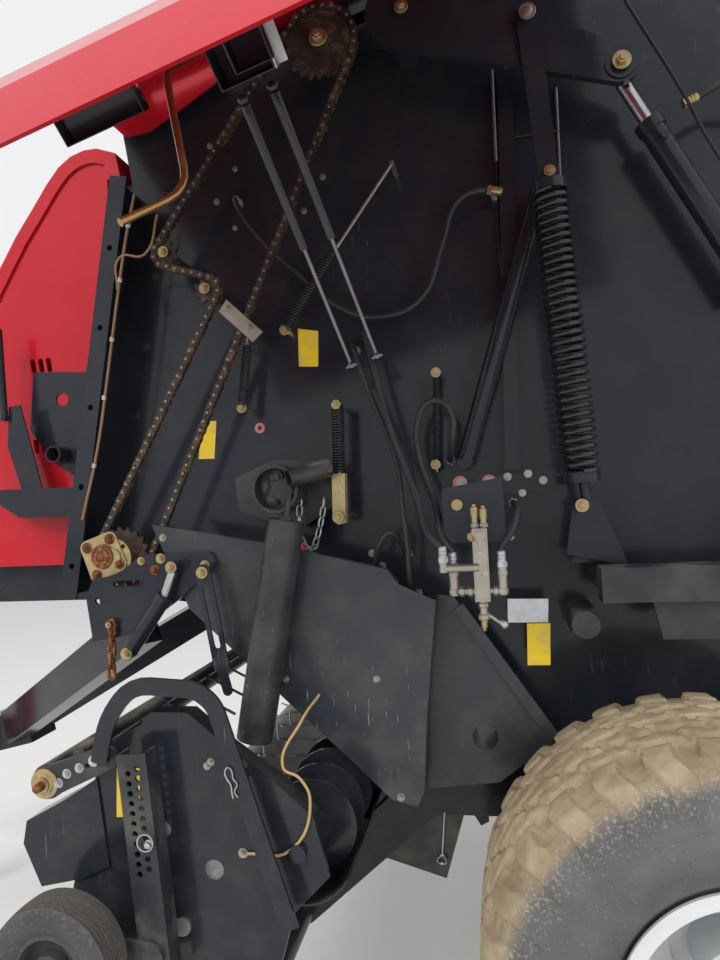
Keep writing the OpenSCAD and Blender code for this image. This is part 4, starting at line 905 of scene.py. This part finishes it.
# Half of the tyre's section, from the tread's middle to the bead: radius, distance from the middle plane
TYRE_SECTION = [
    (475, 0), (474.5, 60), (473, 120), (470, 165), (462, 200), (447, 222), (425, 236), (398, 243),
    (366, 245), (330, 243), (300, 236), (272, 222), (252, 204), (242, 192), (236, 182), (222, 180),
]


def eased(low, high, value):
    t = min(max((value - low) / (high - low), 0.0), 1.0)
    return t * t * (3 - 2 * t)


def tread_drop(turn, across):
    """Depth of the grooves at a turn in lug pitches and a distance along the section from its middle."""
    reach = abs(across)
    pitch = turn + (0.5 if across >= 0 else 0.0)
    if reach > TREAD_END:
        return 0.0
    if reach > RIBS_END:
        sway = 0.10 * math.sin((reach - RIBS_END) * 0.035)
        edge = abs((pitch + sway) % 1.0 - 0.5) * 2
        lug = 1 - eased(0.50, 0.60, edge)
        fade = 1 - eased(286, 300, reach)
        rise = 15 - 9 * eased(185, 250, reach)
        gutter = 1 - eased(0, 7, abs(reach - 116))
        return max((1 - lug) * rise * fade, 8.0 * gutter) + 3.5 * (1 - fade)
    row = math.floor((across + RIBS_END) / RIB_WIDTH)
    wave = 0.13 * math.sin(across * math.tau / RIB_WIDTH)
    slot = abs((turn + 0.5 * (row % 2) + wave) % 1.0 - 0.5) * 2
    seam = (across + RIBS_END) % RIB_WIDTH
    between = min(seam, RIB_WIDTH - seam) + 4 * math.sin(math.tau * (turn + 0.25 * row))
    cut = max(1 - eased(3, 8, between), eased(0.80, 0.92, slot))
    return 11.0 * cut


def make_tyre(hand, side):
    """Tyre with its tread, bent from a grid: round the wheel along x, across the section along y."""
    around, steps = 580, 108
    spans = [0.0]
    for (r0, y0), (r1, y1) in zip(TYRE_SECTION, TYRE_SECTION[1:]):
        spans.append(spans[-1] + math.hypot(r1 - r0, y1 - y0))
    deselect()
    bpy.ops.mesh.primitive_grid_add(x_subdivisions=around, y_subdivisions=steps, size=2)
    piece = started("tread_tyre_" + hand)
    for vertex in piece.data.vertices:
        u, v = (vertex.co.x + 1) / 2, vertex.co.y
        along = v * spans[-1]
        reach = abs(along)
        k = next((i for i, span in enumerate(spans[1:]) if reach <= span), len(spans) - 2)
        share = (reach - spans[k]) / (spans[k + 1] - spans[k])
        (inner_r, inner_y), (outer_r, outer_y) = TYRE_SECTION[k], TYRE_SECTION[k + 1]
        radius = inner_r + (outer_r - inner_r) * share
        width = inner_y + (outer_y - inner_y) * share
        outwards = Vector((outer_y - inner_y, inner_r - outer_r)).normalized()
        drop = tread_drop(u * LUGS, along)
        radius -= drop * outwards.x
        width -= drop * outwards.y
        width = math.copysign(width, along)
        if reach > TREAD_END:
            ring = 1.5 * math.exp(-((reach - 372) / 5) ** 2) + 2.0 * math.exp(-((reach - 430) / 6) ** 2)
            width += math.copysign(ring, along)
        angle = math.tau * u
        vertex.co = (
            (AXLE[0] + radius * math.cos(angle) - HITCH.x) / 1000,
            side * (TYRE_Y + width) / 1000,
            (AXLE[1] + radius * math.sin(angle) - HITCH.z) / 1000,
        )
    piece = smooth(outward(piece), 50)
    fitted(piece, TYRE, body="wheel_" + hand, slot="tyre_rubber", replaces=("tyre_" + hand,))


def make_gauge_tyre(hand, side):
    """Small wheel with a ribbed tyre and a dished steel disc."""
    name, node = "ribbed_wheel_" + hand, "gauge_wheel_" + hand
    ribs = []
    for k in range(9):
        y = -34 + 8.5 * k
        crown = 130 - 0.0022 * y * y
        ribs += [(crown - 4, y - 3.4), (crown, y - 2.6), (crown, y + 2.6), (crown - 4, y + 3.4)]
    inside = [
        (120, -40), (104, -42.5), (92, -42), (80, -38), (74, -34), (70, -36), (66, -36), (60, -14),
        (34, -10),
    ]
    hub = [(34, -34), (14, -36), (12.2, -36), (12.2, 36), (14, 36), (34, 34), (34, 10), (60, 6)]
    outside = [(66, 36), (70, 36), (74, 34), (80, 38), (92, 42), (104, 42.5), (120, 40)]
    profile = ribs + outside[::-1] + hub[::-1] + inside[::-1]
    wheel = put(outward(lathe(name, profile, 72)), (1295, 1224.5, 523))
    if side < 0:
        right = mirrored(wheel, name)
        bpy.data.objects.remove(wheel)
        wheel = right
    fitted(smooth(wheel, 30), GAUGE_TYRE, body=node, slot="tyre_rubber", replaces=(node,))


SIDES = (("left", 1), ("right", -1))

for hand, side in SIDES:
    make_tyre(hand, side)
for hand, side in SIDES:
    make_gauge_tyre(hand, side)


# Bolts

BOLT_WIDTH = 19.0


def hex_bolt():
    """Hexagon head on its washer, with a stub of thread above it."""
    width = BOLT_WIDTH
    head = lifted(cylinder("bolt", width * 0.56, width * 0.42, 6), 2.2)
    pull_faces(head, 1, width * 0.07, width * 0.05)
    washer = softened(cylinder("washer", width * 0.82, 2.2, 20), 0.5, 1)
    shank = lifted(cylinder("thread", width * 0.3, width * 0.22, 10), 2.2 + width * 0.45)
    return joined("bolt", [head, washer, shank])


# Bolt heads on the left side that face outwards: x, y, z, across the flats. The 10 and 11 mm pale heads
# on the wall at y 606 also stand for painted glints.
YELLOW_BOLTS = [
    (484, 842, 1385, 16), (454, 842, 1310, 13), (1246, 816, 1283, 16), (1126, 816, 1262, 15),
    (1301, 816, 1278, 13), (12, 764, 1102, 16), (12, 764, 1070, 16), (824, 606, 488, 13),
    (821, 606, 518, 14), (831, 606, 456, 13), (827, 696, 664, 15), (797, 696, 620, 15),
    (779, 696, 633, 14), (1333, 852, 1048, 19), (1384, 845, 1120, 10),
]
RUSTY_BOLTS = [
    (1478, 775.6, 1314, 18), (1411, 775.6, 1336, 18), (1385, 775.6, 1270, 18), (1452, 775.6, 1241, 18),
    (1263, 816, 1254, 16), (1015, 1078, 330, 22),
]
# Pale heads; those of 10 and 11 mm on the wall at y 606 sit on small bright spots of the wall and carry
# painted glints.
PALE_BOLTS_AND_WALL_GLINTS = [
    (481, 635, 1437, 17), (409, 635, 1436, 17), (361, 632, 1448, 13), (309, 632, 1453, 13),
    (326, 632, 1404, 12), (272, 632, 1434, 13), (1245, 801, 1335, 12), (1066, 740, 1930, 17),
    (1007, 740, 1875, 17), (1144, 606, 2442, 11), (1131, 606, 2278, 11), (1007, 606, 2459, 11),
    (1072, 606, 2365, 10), (817, 606, 2307, 11), (876, 606, 2219, 11), (1080, 606, 2196, 10),
    (732, 606, 1260, 13), (156, 606, 2532, 14), (702, 801, 970, 11), (932, 801, 970, 11),
    (657, 801, 687, 12), (980, 674, 1471, 12), (911, 674, 1467, 12), (1028, 1078, 860, 10),
    (1019, 1078, 869, 10), (943, 1078, 778, 13), (956, 1078, 680, 13), (361, 606, 1290, 11),
]
DARK_BOLTS = [
    (981, 738, 1446, 14), (959, 738, 1476, 14), (923, 738, 1465, 14), (923, 738, 1427, 14),
    (959, 738, 1416, 14),
]


def make_bolts():
    """Bolt heads on both sides, among them pale heads on the wall that also stand for painted glints.
    Those further out than 1 m belong to the pickup.
    """
    for name, table, material, slot in (
        ("yellow_bolts", YELLOW_BOLTS, YELLOW_ZINC, "zinc_plate"),
        ("rusty_bolts", RUSTY_BOLTS, RUSTY, "rusty_chain"),
        ("pale_bolts_and_wall_glints", PALE_BOLTS_AND_WALL_GLINTS, WARM_ZINC, "bright_steel"),
        ("dark_bolts", DARK_BOLTS, SLATE_WORN, "slate_paint"),
    ):
        spin = random.Random(7)
        places = {"root": [], "pickup": []}
        for x, y, z, width in table:
            place = spot((x, y, z), spin=spin.uniform(0, 60), scale=width / BOLT_WIDTH)
            places["root" if y < 1000 else "pickup"].append(place)
        for body, part in (("root", name), ("pickup", name + "_pickup")):
            if places[body]:
                piece = smooth(stamped(part, hex_bolt(), places[body]), 30)
                both_sides(piece, material, body=body, slot=slot)


make_bolts()


# Hoses on the left wall

HOSE_RADIUS = 8.0
# Distance of the valve block's ports from the wall
PORT = 256


def stub(x, z, reach):
    """End of a hose that stands straight out from the wall."""
    return [(x, 0.3, z), (x, reach / 2, z), (x, reach, z)]


# Each hose: points of x, distance from the wall and z, then the radius
HOSES = [
    ([*stub(352, 2190, 30), (375, 56, 2188), (444, 58, 2172), (496, 58, 2058), (556, 55, 1927),
      (650, 52, 1889), (763, 40, 1919), (882, 40, 2024), (1000, 50, 2150), (1056, 44, 2240),
      *stub(1062, 2262, 30)[::-1]], 8),
    ([*stub(505, 1500, 60), (495, 130, 1530), (490, 152, 1610), (515, 152, 1640), (550, 150, 1638),
      (576, 150, 1586), (573, 150, 1499), (548, 165, 1420), (532, 205, 1360), (528, 245, 1322),
      (513, PORT, 1295), (499, PORT, 1275), (499, PORT, 1258), (499, PORT, 1240.3)], 8),
    ([*stub(712, 1842, 60), (700, 120, 1832), (668, 150, 1692), (640, 165, 1577), (605, 178, 1475),
      (578, 205, 1400), (562, 255, 1345), (542, 280, 1308), (524, PORT + 22, 1290),
      (520, PORT + 22, 1273), (520, PORT + 22, 1256.3)], 8),
    ([*stub(745, 1815, 60), (733, 115, 1800), (695, 134, 1680), (657, 142, 1578), (632, 150, 1500),
      (622, 168, 1400), (612, 180, 1290), (612, 168, 1210), (610, 110, 1165),
      *stub(610, 1150, 60)[::-1]], 7),
    ([*stub(350, 1380, 120), (346, 185, 1375), (350, 240, 1350), (368, 262, 1312), (389, PORT, 1280),
      (389, PORT, 1260), (389, PORT, 1240.3)], 8),
    ([*stub(705, 1225, 60), (700, 130, 1250), (682, 158, 1300), (655, 160, 1322), (636, 140, 1300),
      (630, 90, 1262), *stub(630, 1255, 60)[::-1]], 7),
]


# Crimped sleeve of a hose's end: radius and height, in hose radii
SLEEVE = [
    (0.9, 1.5), (1.3, 1.6), (1.3, 2.2), (1.18, 2.35), (1.3, 2.5), (1.3, 3.1), (1.18, 3.25), (1.3, 3.4),
    (1.28, 4.4), (1.05, 4.7), (0.9, 4.7),
]


def crimped_end():
    """Hexagon nut with a crimped sleeve behind it, standing on the hose's end."""
    nut = cylinder("nut", HOSE_RADIUS * 1.55, HOSE_RADIUS * 1.5, 6)
    pull_faces(nut, 1, HOSE_RADIUS * 0.2, HOSE_RADIUS * 0.15)
    sleeve = lathe("sleeve", [(HOSE_RADIUS * r, HOSE_RADIUS * height) for r, height in SLEEVE], 20)
    return joined("crimped_end", [nut, sleeve])


def make_hoses():
    pipes, ends = [], []
    for points, radius in HOSES:
        route = [(x, WALL_Y + out, z) for x, out, z in points]
        pipes.append(tube("hose", route, radius, sides=16, resolution=5))
        for end, inward in ((route[0], route[1]), (route[-1], route[-2])):
            ends.append(spot(end, Vector(inward) - Vector(end), 15.0, radius / HOSE_RADIUS))
    hoses = joined("wall_hoses", pipes)
    fitted(hoses, BLACK_RUBBER, slot="tyre_rubber", replaces=("held_hoses",))
    fitted(smooth(stamped("hose_ends", crimped_end(), ends), 30), BRIGHT_ZINC, slot="zinc_plate")


make_hoses()


# Valve block, drawn over the CAD's block

UP = (0, 0, 1)
VALVE_Y = 862
# Hexagons that stand upright: x, z, scale
VALVE_HEXAGONS = [
    (389, 1181, 0.9), (499, 1181, 0.9), (389, 1222, 0.85), (499, 1222, 0.85), (435, 1122, 0.95),
    (435, 1150, 0.8), (425, 1332, 0.72), (445, 1332, 0.72),
]
VALVE_CAP = [
    (0.01, 0), (9.2, 0), (9.6, 1), (9.6, 20), (8.4, 22.5), (5.0, 23.4), (5.0, 29), (4.2, 30), (0.01, 30),
]
VALVE_KNOB = [(0.01, 0), (5, 0), (6.5, 4), (8.5, 9), (9, 14), (7, 19), (3, 21.5), (0.01, 22)]


def make_valve_fittings():
    hexagon = softened(cylinder("hexagon", 15, 13, 6), 1.2, 1)
    places = [spot((x, VALVE_Y, z), UP, 10, scale) for x, z, scale in VALVE_HEXAGONS]
    places += [spot((x, VALVE_Y, 1187), (1, 0, 0), 0, 0.85) for x in (400, 457, 476)]
    fitted(smooth(stamped("valve_hexagons", hexagon, places), 30), WARM_ZINC, slot="zinc_plate")
    caps = [spot((425, VALVE_Y, 1352), UP), spot((445, VALVE_Y, 1356), UP)]
    caps.append(spot((435, VALVE_Y, 1120), (0, 0, -1), 0, 0.8))
    caps = stamped("valve_caps", lathe("cap", VALVE_CAP, 24), caps)
    fitted(smooth(caps, 30), YELLOW_ZINC, slot="zinc_plate")
    knob = put(lathe("knob", VALVE_KNOB, 20), (400, 866, 1118), (-0.8, 0.1, -0.6))
    fitted(smooth(knob, 50), BRIGHT_ZINC, slot="zinc_plate")
    corners = [(421, 1170), (449, 1170), (449, 1325), (421, 1325)]
    face = upright_plate("valve_face", corners, 882.0, 2.5, 0.8)
    fitted(face, WARM_ZINC, slot="zinc_plate")


# Washers with nuts at the pivots: x, y, z, radius

PIVOT_WASHERS = [
    (1126, 738, 1991, 15), (1239, 738, 2102, 15), (781, 740, 2609, 24), (925, 683, 1873, 15),
    (1057, 683, 1672, 14), (528, 683, 1725, 13), (541, 683, 1488, 13), (560, 768, 2630, 17),
    (49, 768, 2409, 22), (196, 770, 1369, 16), (226, 770, 2170, 14), (1198, 858, 1263, 15),
    (791, 742, 1366, 15), (784, 734, 1655, 12), (1112, 868, 1249, 15),
]


def washer_with_nut():
    """Flat washer with a hexagon nut and the end of its bolt."""
    washer = lathe("washer", [(3, 0), (15, 0), (15, 2.6), (14.4, 3.2), (3, 3.2)], 28)
    nut = softened(lifted(cylinder("nut", 9.4, 7.5, 6), 3.0), 0.7, 1)
    end = softened(lifted(cylinder("end", 5.2, 12.5, 16), 2.0), 0.8, 1)
    return joined("washer", [washer, nut, end])


def make_washers():
    spin = random.Random(11)
    places = [spot((x, y, z), spin=spin.uniform(0, 60), scale=r / 15) for x, y, z, r in PIVOT_WASHERS]
    washers = stamped("pivot_washers", washer_with_nut(), places)
    fitted(smooth(washers, 30), YELLOW_ZINC, slot="zinc_plate")


# Thin pipes and wires: points on the machine's drawing, radius, finish

PIPES = {
    "brake_pipe": ([
        (1310, 748, 2264), (1335, 748, 2171), (1374, 748, 1983), (1414, 748, 1768), (1452, 748, 1579),
        (1506, 748, 1390)], 4.0, BROWN_PIPE),
    "post_wire": ([
        (1246, 748, 2201), (1289, 748, 2097), (1362, 748, 2097), (1372, 748, 2010)], 3.5, BROWN_PIPE),
    "wall_wire_front": ([
        (346, 612, 2511), (344, 612, 2270), (349, 612, 2037), (330, 612, 1826)], 3.0, BLACK_RUBBER),
    "wall_wire_rear": ([
        (338, 612, 2335), (251, 614, 2340), (209, 616, 2339), (189, 612, 2341)], 3.5, BLACK_RUBBER),
    "cylinder_pipe": ([
        (19, 700, 2594), (-103, 716, 2320), (-132, 714, 2250), (-172, 706, 2172)], 4.5, BLACK_RUBBER),
}
GREASE_PIPE = [
    (945, 1082, 681), (852, 1084, 692), (804, 1080, 796), (824, 1076, 837), (866, 1060, 856),
    (840, 1000, 929), (822, 900, 960),
]
# Clips of the brake pipe: x, z
PIPE_CLIPS = [(1331, 2187), (1362, 2041), (1393, 1882), (1424, 1725), (1462, 1542)]


def make_pipes():
    for name, (points, radius, finish) in PIPES.items():
        fitted(tube(name, points, radius, resolution=6), finish, slot="tyre_rubber")
    grease = tube("grease_pipe", GREASE_PIPE, 3.2, resolution=8)
    fitted(grease, PALE_PIPE, body="pickup", slot="zinc_plate")
    clip = lathe("clip", [(4.2, 0), (6.2, 0), (6.6, 1), (6.6, 11), (6.2, 12), (4.2, 12)], 18)
    clips = stamped("pipe_clips", clip, [spot((x, 748, z), (37.5, 0, -192)) for x, z in PIPE_CLIPS])
    fitted(smooth(clips, 30), BRIGHT_ZINC, slot="zinc_plate")


# Chain loop that hangs from the hub's plate, with its red ribbon

HANGING_CHAIN = [
    (904, 700, 1428), (902, 704, 1400), (904, 706, 1372), (905, 707, 1345), (902, 708, 1318),
    (894, 708, 1296), (880, 708, 1284), (866, 708, 1290), (858, 708, 1312), (850, 706, 1340),
    (843, 704, 1368), (838, 702, 1394), (836, 700, 1414),
]
RIBBON = [(898, 716, 1300), (890, 722, 1270), (893, 724, 1238), (884, 722, 1214)]


def chain_link(length=30.0, wire=2.6):
    """One welded link, lying along z."""
    bend = wire * 2.6
    half = length / 2 - bend
    points = []
    for side in (1, -1):
        for degrees in range(-90, 91, 30):
            angle = math.radians(degrees) * side
            across, up = bend * math.sin(angle), side * half + side * bend * math.cos(angle)
            points.append(HITCH + Vector((across, 0, up)))
    return tube("link", points, wire, sides=8, resolution=2, closed=True)


def make_hanging_chain():
    places = []
    for k, (first, second) in enumerate(zip(HANGING_CHAIN, HANGING_CHAIN[1:])):
        first, second = Vector(first), Vector(second)
        places.append(spot((first + second) / 2, second - first, 90.0 * (k % 2) + 45))
    chain = stamped("hanging_chain", chain_link(), places)
    fitted(smooth(chain, 60), BRIGHT_ZINC, slot="zinc_plate")
    fitted(tube("ribbon", RIBBON, 5.5, sides=8), RED, slot="red_paint")


# Fittings on the doors' inner sides, in the frame of a closed door: along the hinge, out, up

DOOR_HINGE = (1020, 700, 2689.33)
ROOF_SLOPE, DOOR_LEAN, DOOR_OPEN = 15.4, 12.0, 40.2
# Sheet boxes: two corners, then the inset and the depth of the hollow in the lower face
DOOR_BOXES = [
    ((-123, -84, -640), (-3, 79.4, -530), 4, 106), ((70, -45, -985), (215, 10, -940), 3, 40),
    ((-160, -50, -1060), (-100, 60, -1000), 3, 55),
]
HANDLE = [(2.9, -4.9, -668.2), (30.2, -5.6, -890.3), (31.2, -158.8, -1110.3), (118.3, -148.4, -1209.8)]


def door_frame(swing):
    lean = Matrix.Rotation(math.radians(swing + DOOR_LEAN), 4, "X")
    return Matrix.Translation(at(*DOOR_HINGE)) @ Matrix.Rotation(math.radians(ROOF_SLOPE), 4, "Y") @ lean


def on_door(piece, side):
    """Moves a piece from the door's frame to its door: +1 the open left one, -1 the closed right one."""
    piece.data.transform(door_frame(DOOR_OPEN if side > 0 else 0.0))
    if side < 0:
        piece.data.transform(Matrix.Diagonal((1, -1, 1, 1)))
        piece.data.flip_normals()
    return piece


def make_door_fittings(hand, side):
    node, body = "door_%s_fittings" % hand, "door_" + hand
    boxes = []
    for low, high, inset, depth in DOOR_BOXES:
        boxes.append(softened(pull_faces(block("box", low, high), -1, inset, -depth), 1.6))
    sheet = on_door(joined("door_brackets_" + hand, boxes), side)
    fitted(smooth(sheet, 30), SLATE_AND_PAINTED_SKY, body=body, replaces=(node,))
    edge = softened(block("flange", (-126.5, -84, -640), (-123.2, 79.4, -528)), 0.8)
    lip = softened(block("lip", (-145, -84, -531), (-123.4, 79.4, -528)), 0.8)
    flange = on_door(joined("box_flange_" + hand, [edge, lip]), side)
    fitted(flange, BRIGHT_ZINC, body=body, slot="zinc_plate", replaces=(node,))
    rod = bent_rod("door_handle_" + hand, [HITCH + Vector(point) for point in HANDLE], 6.4, 45, 20)
    fitted(on_door(rod, side), BRONZE, body=body, slot="zinc_plate", replaces=(node,))


# Bearing flange at the front, with its rusty bearing

FLANGE_BOLTS = [(1385, 1270), (1452, 1241), (1478, 1314), (1411, 1336)]
BEARING = [
    (0.01, 0), (33, 0), (33, 5), (31, 8), (26, 9.5), (25, 8), (22, 8), (21, 10.5), (15, 10.5),
    (14.5, 9), (8, 9), (7.5, 13), (0.01, 13),
]


def make_bearing():
    housing = upright_plate("bearing_flange", rounded_outline(FLANGE_BOLTS, 20), 772.2, 3.4, 0.8)
    fitted(housing, YELLOW_ZINC, slot="zinc_plate")
    bearing = put(lathe("front_bearing", BEARING, 48), (1432, 775.6, 1290))
    fitted(smooth(bearing, 30), RUSTY, slot="rusty_chain")


# Chromed rods, bright wall rods and unions of the hydraulic lines

WALL_RODS = [((344, 640, 2510), (346, 640, 2270), 4.0), ((183, 614, 2452), (186, 614, 2173), 4.0)]
UNIONS = [((372, 664, 2188), (-1, 0, -0.28)), ((-96, 706, 2315), (-0.93, 0, 0.36))]
LINK_PIN = [
    (0.01, 0), (20, 0), (20, 2.5), (18.5, 3), (17.5, 1.5), (12.5, 1.5), (12, 7), (10.5, 8), (0.01, 8.2),
]
CYLINDER_HOSE = [
    (-128, 706, 2327), (-190, 704, 2352), (-232, 690, 2340), (-243, 650, 2308), (-244, 622, 2296),
    (-244, 607, 2294),
]


def make_rods():
    arm_end, way = Vector((49, 706, 2409)), Vector((-274, 0, -539)).normalized()
    both_sides(
        bent_rod("tension_rod", [arm_end + 26 * way, arm_end + 139 * way], 17.4, sides=32),
        CHROME, slot="bright_steel"
    )
    both_sides(
        bent_rod("lift_ram_rod", [(1203, 838, 1251), (1227, 838, 1192)], 12.5, sides=28),
        CHROME, slot="bright_steel"
    )
    rods = [bent_rod("rod", [low, high], radius) for low, high, radius in WALL_RODS]
    fitted(joined("wall_rods", rods), STEEL, slot="bright_steel")
    unions = stamped("line_unions", crimped_end(), [spot(place, way) for place, way in UNIONS])
    fitted(smooth(unions, 30), YELLOW_ZINC, slot="zinc_plate")
    pin = put(lathe("link_pin", LINK_PIN, 36), (258, 782.2, 2554))
    both_sides(smooth(pin, 40), WARM_ZINC, slot="zinc_plate")
    hose = tube("cylinder_hose", CYLINDER_HOSE, 8.5, sides=16, resolution=5)
    fitted(hose, BLACK_RUBBER, slot="tyre_rubber")


# Stay plate under the wall, with the eye rod

STAY_PLATE = [(669, 569), (788, 500), (798, 455), (576, 390), (519, 567)]


def make_stay_plate():
    both_sides(upright_plate("stay_plate", STAY_PLATE, 597.0, 6, 1.2), SLATE_WORN)
    rod = bent_rod("eye_rod", [(572, 606.6, 568), (584, 606.6, 455)], 3.7, sides=20)
    eye = hoop("eye", (585, 606.6, 442), 11, 3.7, knots=10, sides=10)
    fitted(smooth(joined("stay_eye_rod", [rod, eye]), 40), CHROME, slot="bright_steel")


# Small parts of the pickup's left and right sides

CAPS = [(1021, 643, 21), (1133, 723, 16)]
ARM_BOLTS = [(1365, 824, 13), (1344, 845, 13), (1314, 858, 13), (1279, 874, 15)]
STRIP = [(1188, 747), (1243, 745), (1238, 851), (1183, 852)]
STEM = [(0.01, 0), (9, 0), (9, 3), (6.5, 5), (6.5, 11), (4, 13), (0.01, 13)]
HAIRPIN = [
    (940, 1133, 820), (946, 1134, 832), (940, 1134, 846), (948, 1134, 858), (950, 1134, 872),
    (958, 1134, 880), (965, 1134, 872), (962, 1134, 858), (954, 1134, 846), (952, 1134, 830),
    (950, 1134, 818),
]
ROLLER_FLANGE = [
    (0.01, 0), (32, 0), (33, 1.5), (32, 3.5), (24, 4.5), (21, 8), (18, 9), (17, 14), (12, 15),
    (0.01, 15),
]


def make_pickup_parts():
    cap = lathe("cap", [(0.01, 0), (21, 0), (21, 1.6), (18.5, 3.2), (8, 4.0), (0.01, 4.2)], 36)
    caps = stamped("side_caps", cap, [spot((x, 1078, z), scale=r / 21) for x, z, r in CAPS])
    both_sides(smooth(caps, 40), DULL_ZINC, body="pickup", slot="zinc_plate")
    strip = upright_plate("side_strip", STRIP, 1078.2, 0.6)
    both_sides(strip, LABEL_FINISH["yellow"], body="pickup")
    ring = hoop("ring", (1134, 1160, 733), 17, 1.7, knots=16, sides=8)
    stem = put(lathe("stem", STEM, 24), (1128, 1153, 729))
    ring_pin = smooth(joined("ring_pin", [ring, stem]), 40)
    both_sides(ring_pin, BRIGHT_ZINC, body="pickup", slot="zinc_plate")
    clip = tube("hairpin_clip", HAIRPIN, 1.9, sides=8)
    both_sides(clip, BRIGHT_ZINC, body="pickup", slot="zinc_plate")
    places = []
    for k, (x, z, width) in enumerate(ARM_BOLTS):
        places.append(spot((x, 1100, z), spin=17 * k, scale=width / BOLT_WIDTH))
    bolts = smooth(stamped("arm_bolts", hex_bolt(), places), 30)
    both_sides(bolts, BRIGHT_ZINC, body="windguard", slot="zinc_plate")
    dish = put(lathe("roller_flange", ROLLER_FLANGE, 48), (1399, 1100.2, 822))
    both_sides(smooth(dish, 30), YELLOW_ZINC, body="windguard", slot="zinc_plate")
    nut = put(softened(cylinder("roller_nut", 11.5, 17, 6), 1.2, 1), (1399, 1114, 822))
    both_sides(smooth(nut, 30), RUSTY, body="windguard", slot="rusty_chain")


# Faded washers round three pivots on the wall

FADED_WASHERS = [(1034, 606.3, 1622, 15), (484, 632.2, 1438, 19), (409, 632.2, 1437, 19)]


def make_faded_washers():
    ring = lathe("washer", [(6, 0), (15, 0), (15, 2.2), (14, 3), (6, 3)], 28)
    places = [spot((x, y, z), scale=radius / 15) for x, y, z, radius in FADED_WASHERS]
    fitted(smooth(stamped("faded_washers", ring, places), 30), FADED_RED, slot="red_paint")


make_valve_fittings()
make_washers()
make_pipes()
make_hanging_chain()
for hand, side in SIDES:
    make_door_fittings(hand, side)
make_bearing()
make_rods()
make_stay_plate()
make_faded_washers()


# Bare labels: x and z of the corners, plane, colour

LABELS = [
    ("white_label", [(379, 1143), (280, 1141), (284, 1083), (381, 1084)], 701.3, "white"),
    ("shield_label", [(335, 1081), (279, 1081), (284, 978), (339, 978)], 701.3, "yellow"),
    ("wall_label_rear", [(910, 1892), (852, 1880), (857, 1781), (912, 1786)], 606.3, "yellow"),
    ("wall_label_front", [(1207, 1654), (1163, 1651), (1174, 1544), (1222, 1546)], 606.3, "yellow"),
]


def label_finish(name, ground, edge):
    """Bare film, clouded towards a darker tone, with faded patches of dust."""
    f = Finish(name, specular=0.4)
    clouds = f.noise(20.0, 5.0)
    film = clouds.step(0.4, 0.75) * 0.35
    body = f.blend(film, f.blend(clouds.step(0.3, 0.8) * 0.35, ground, edge), DUST)
    return f.done(body, (film * 0.4 + 0.35).held(), clouds, depth=0.0002)


LABEL_FINISH = {
    "yellow": label_finish("yellow_label", (0.80, 0.55, 0.02), (0.62, 0.40, 0.01)),
    "white": label_finish("white_label", (0.62, 0.63, 0.64), (0.48, 0.49, 0.5)),
}


def make_labels():
    for name, corners, y, colour in LABELS:
        piece = upright_plate(name, corners, y, 0.6)
        fitted(softened(piece, 0.25, 1, 50), LABEL_FINISH[colour])


make_labels()
make_pickup_parts()

bpy.context.scene.view_settings.view_transform = "Standard"
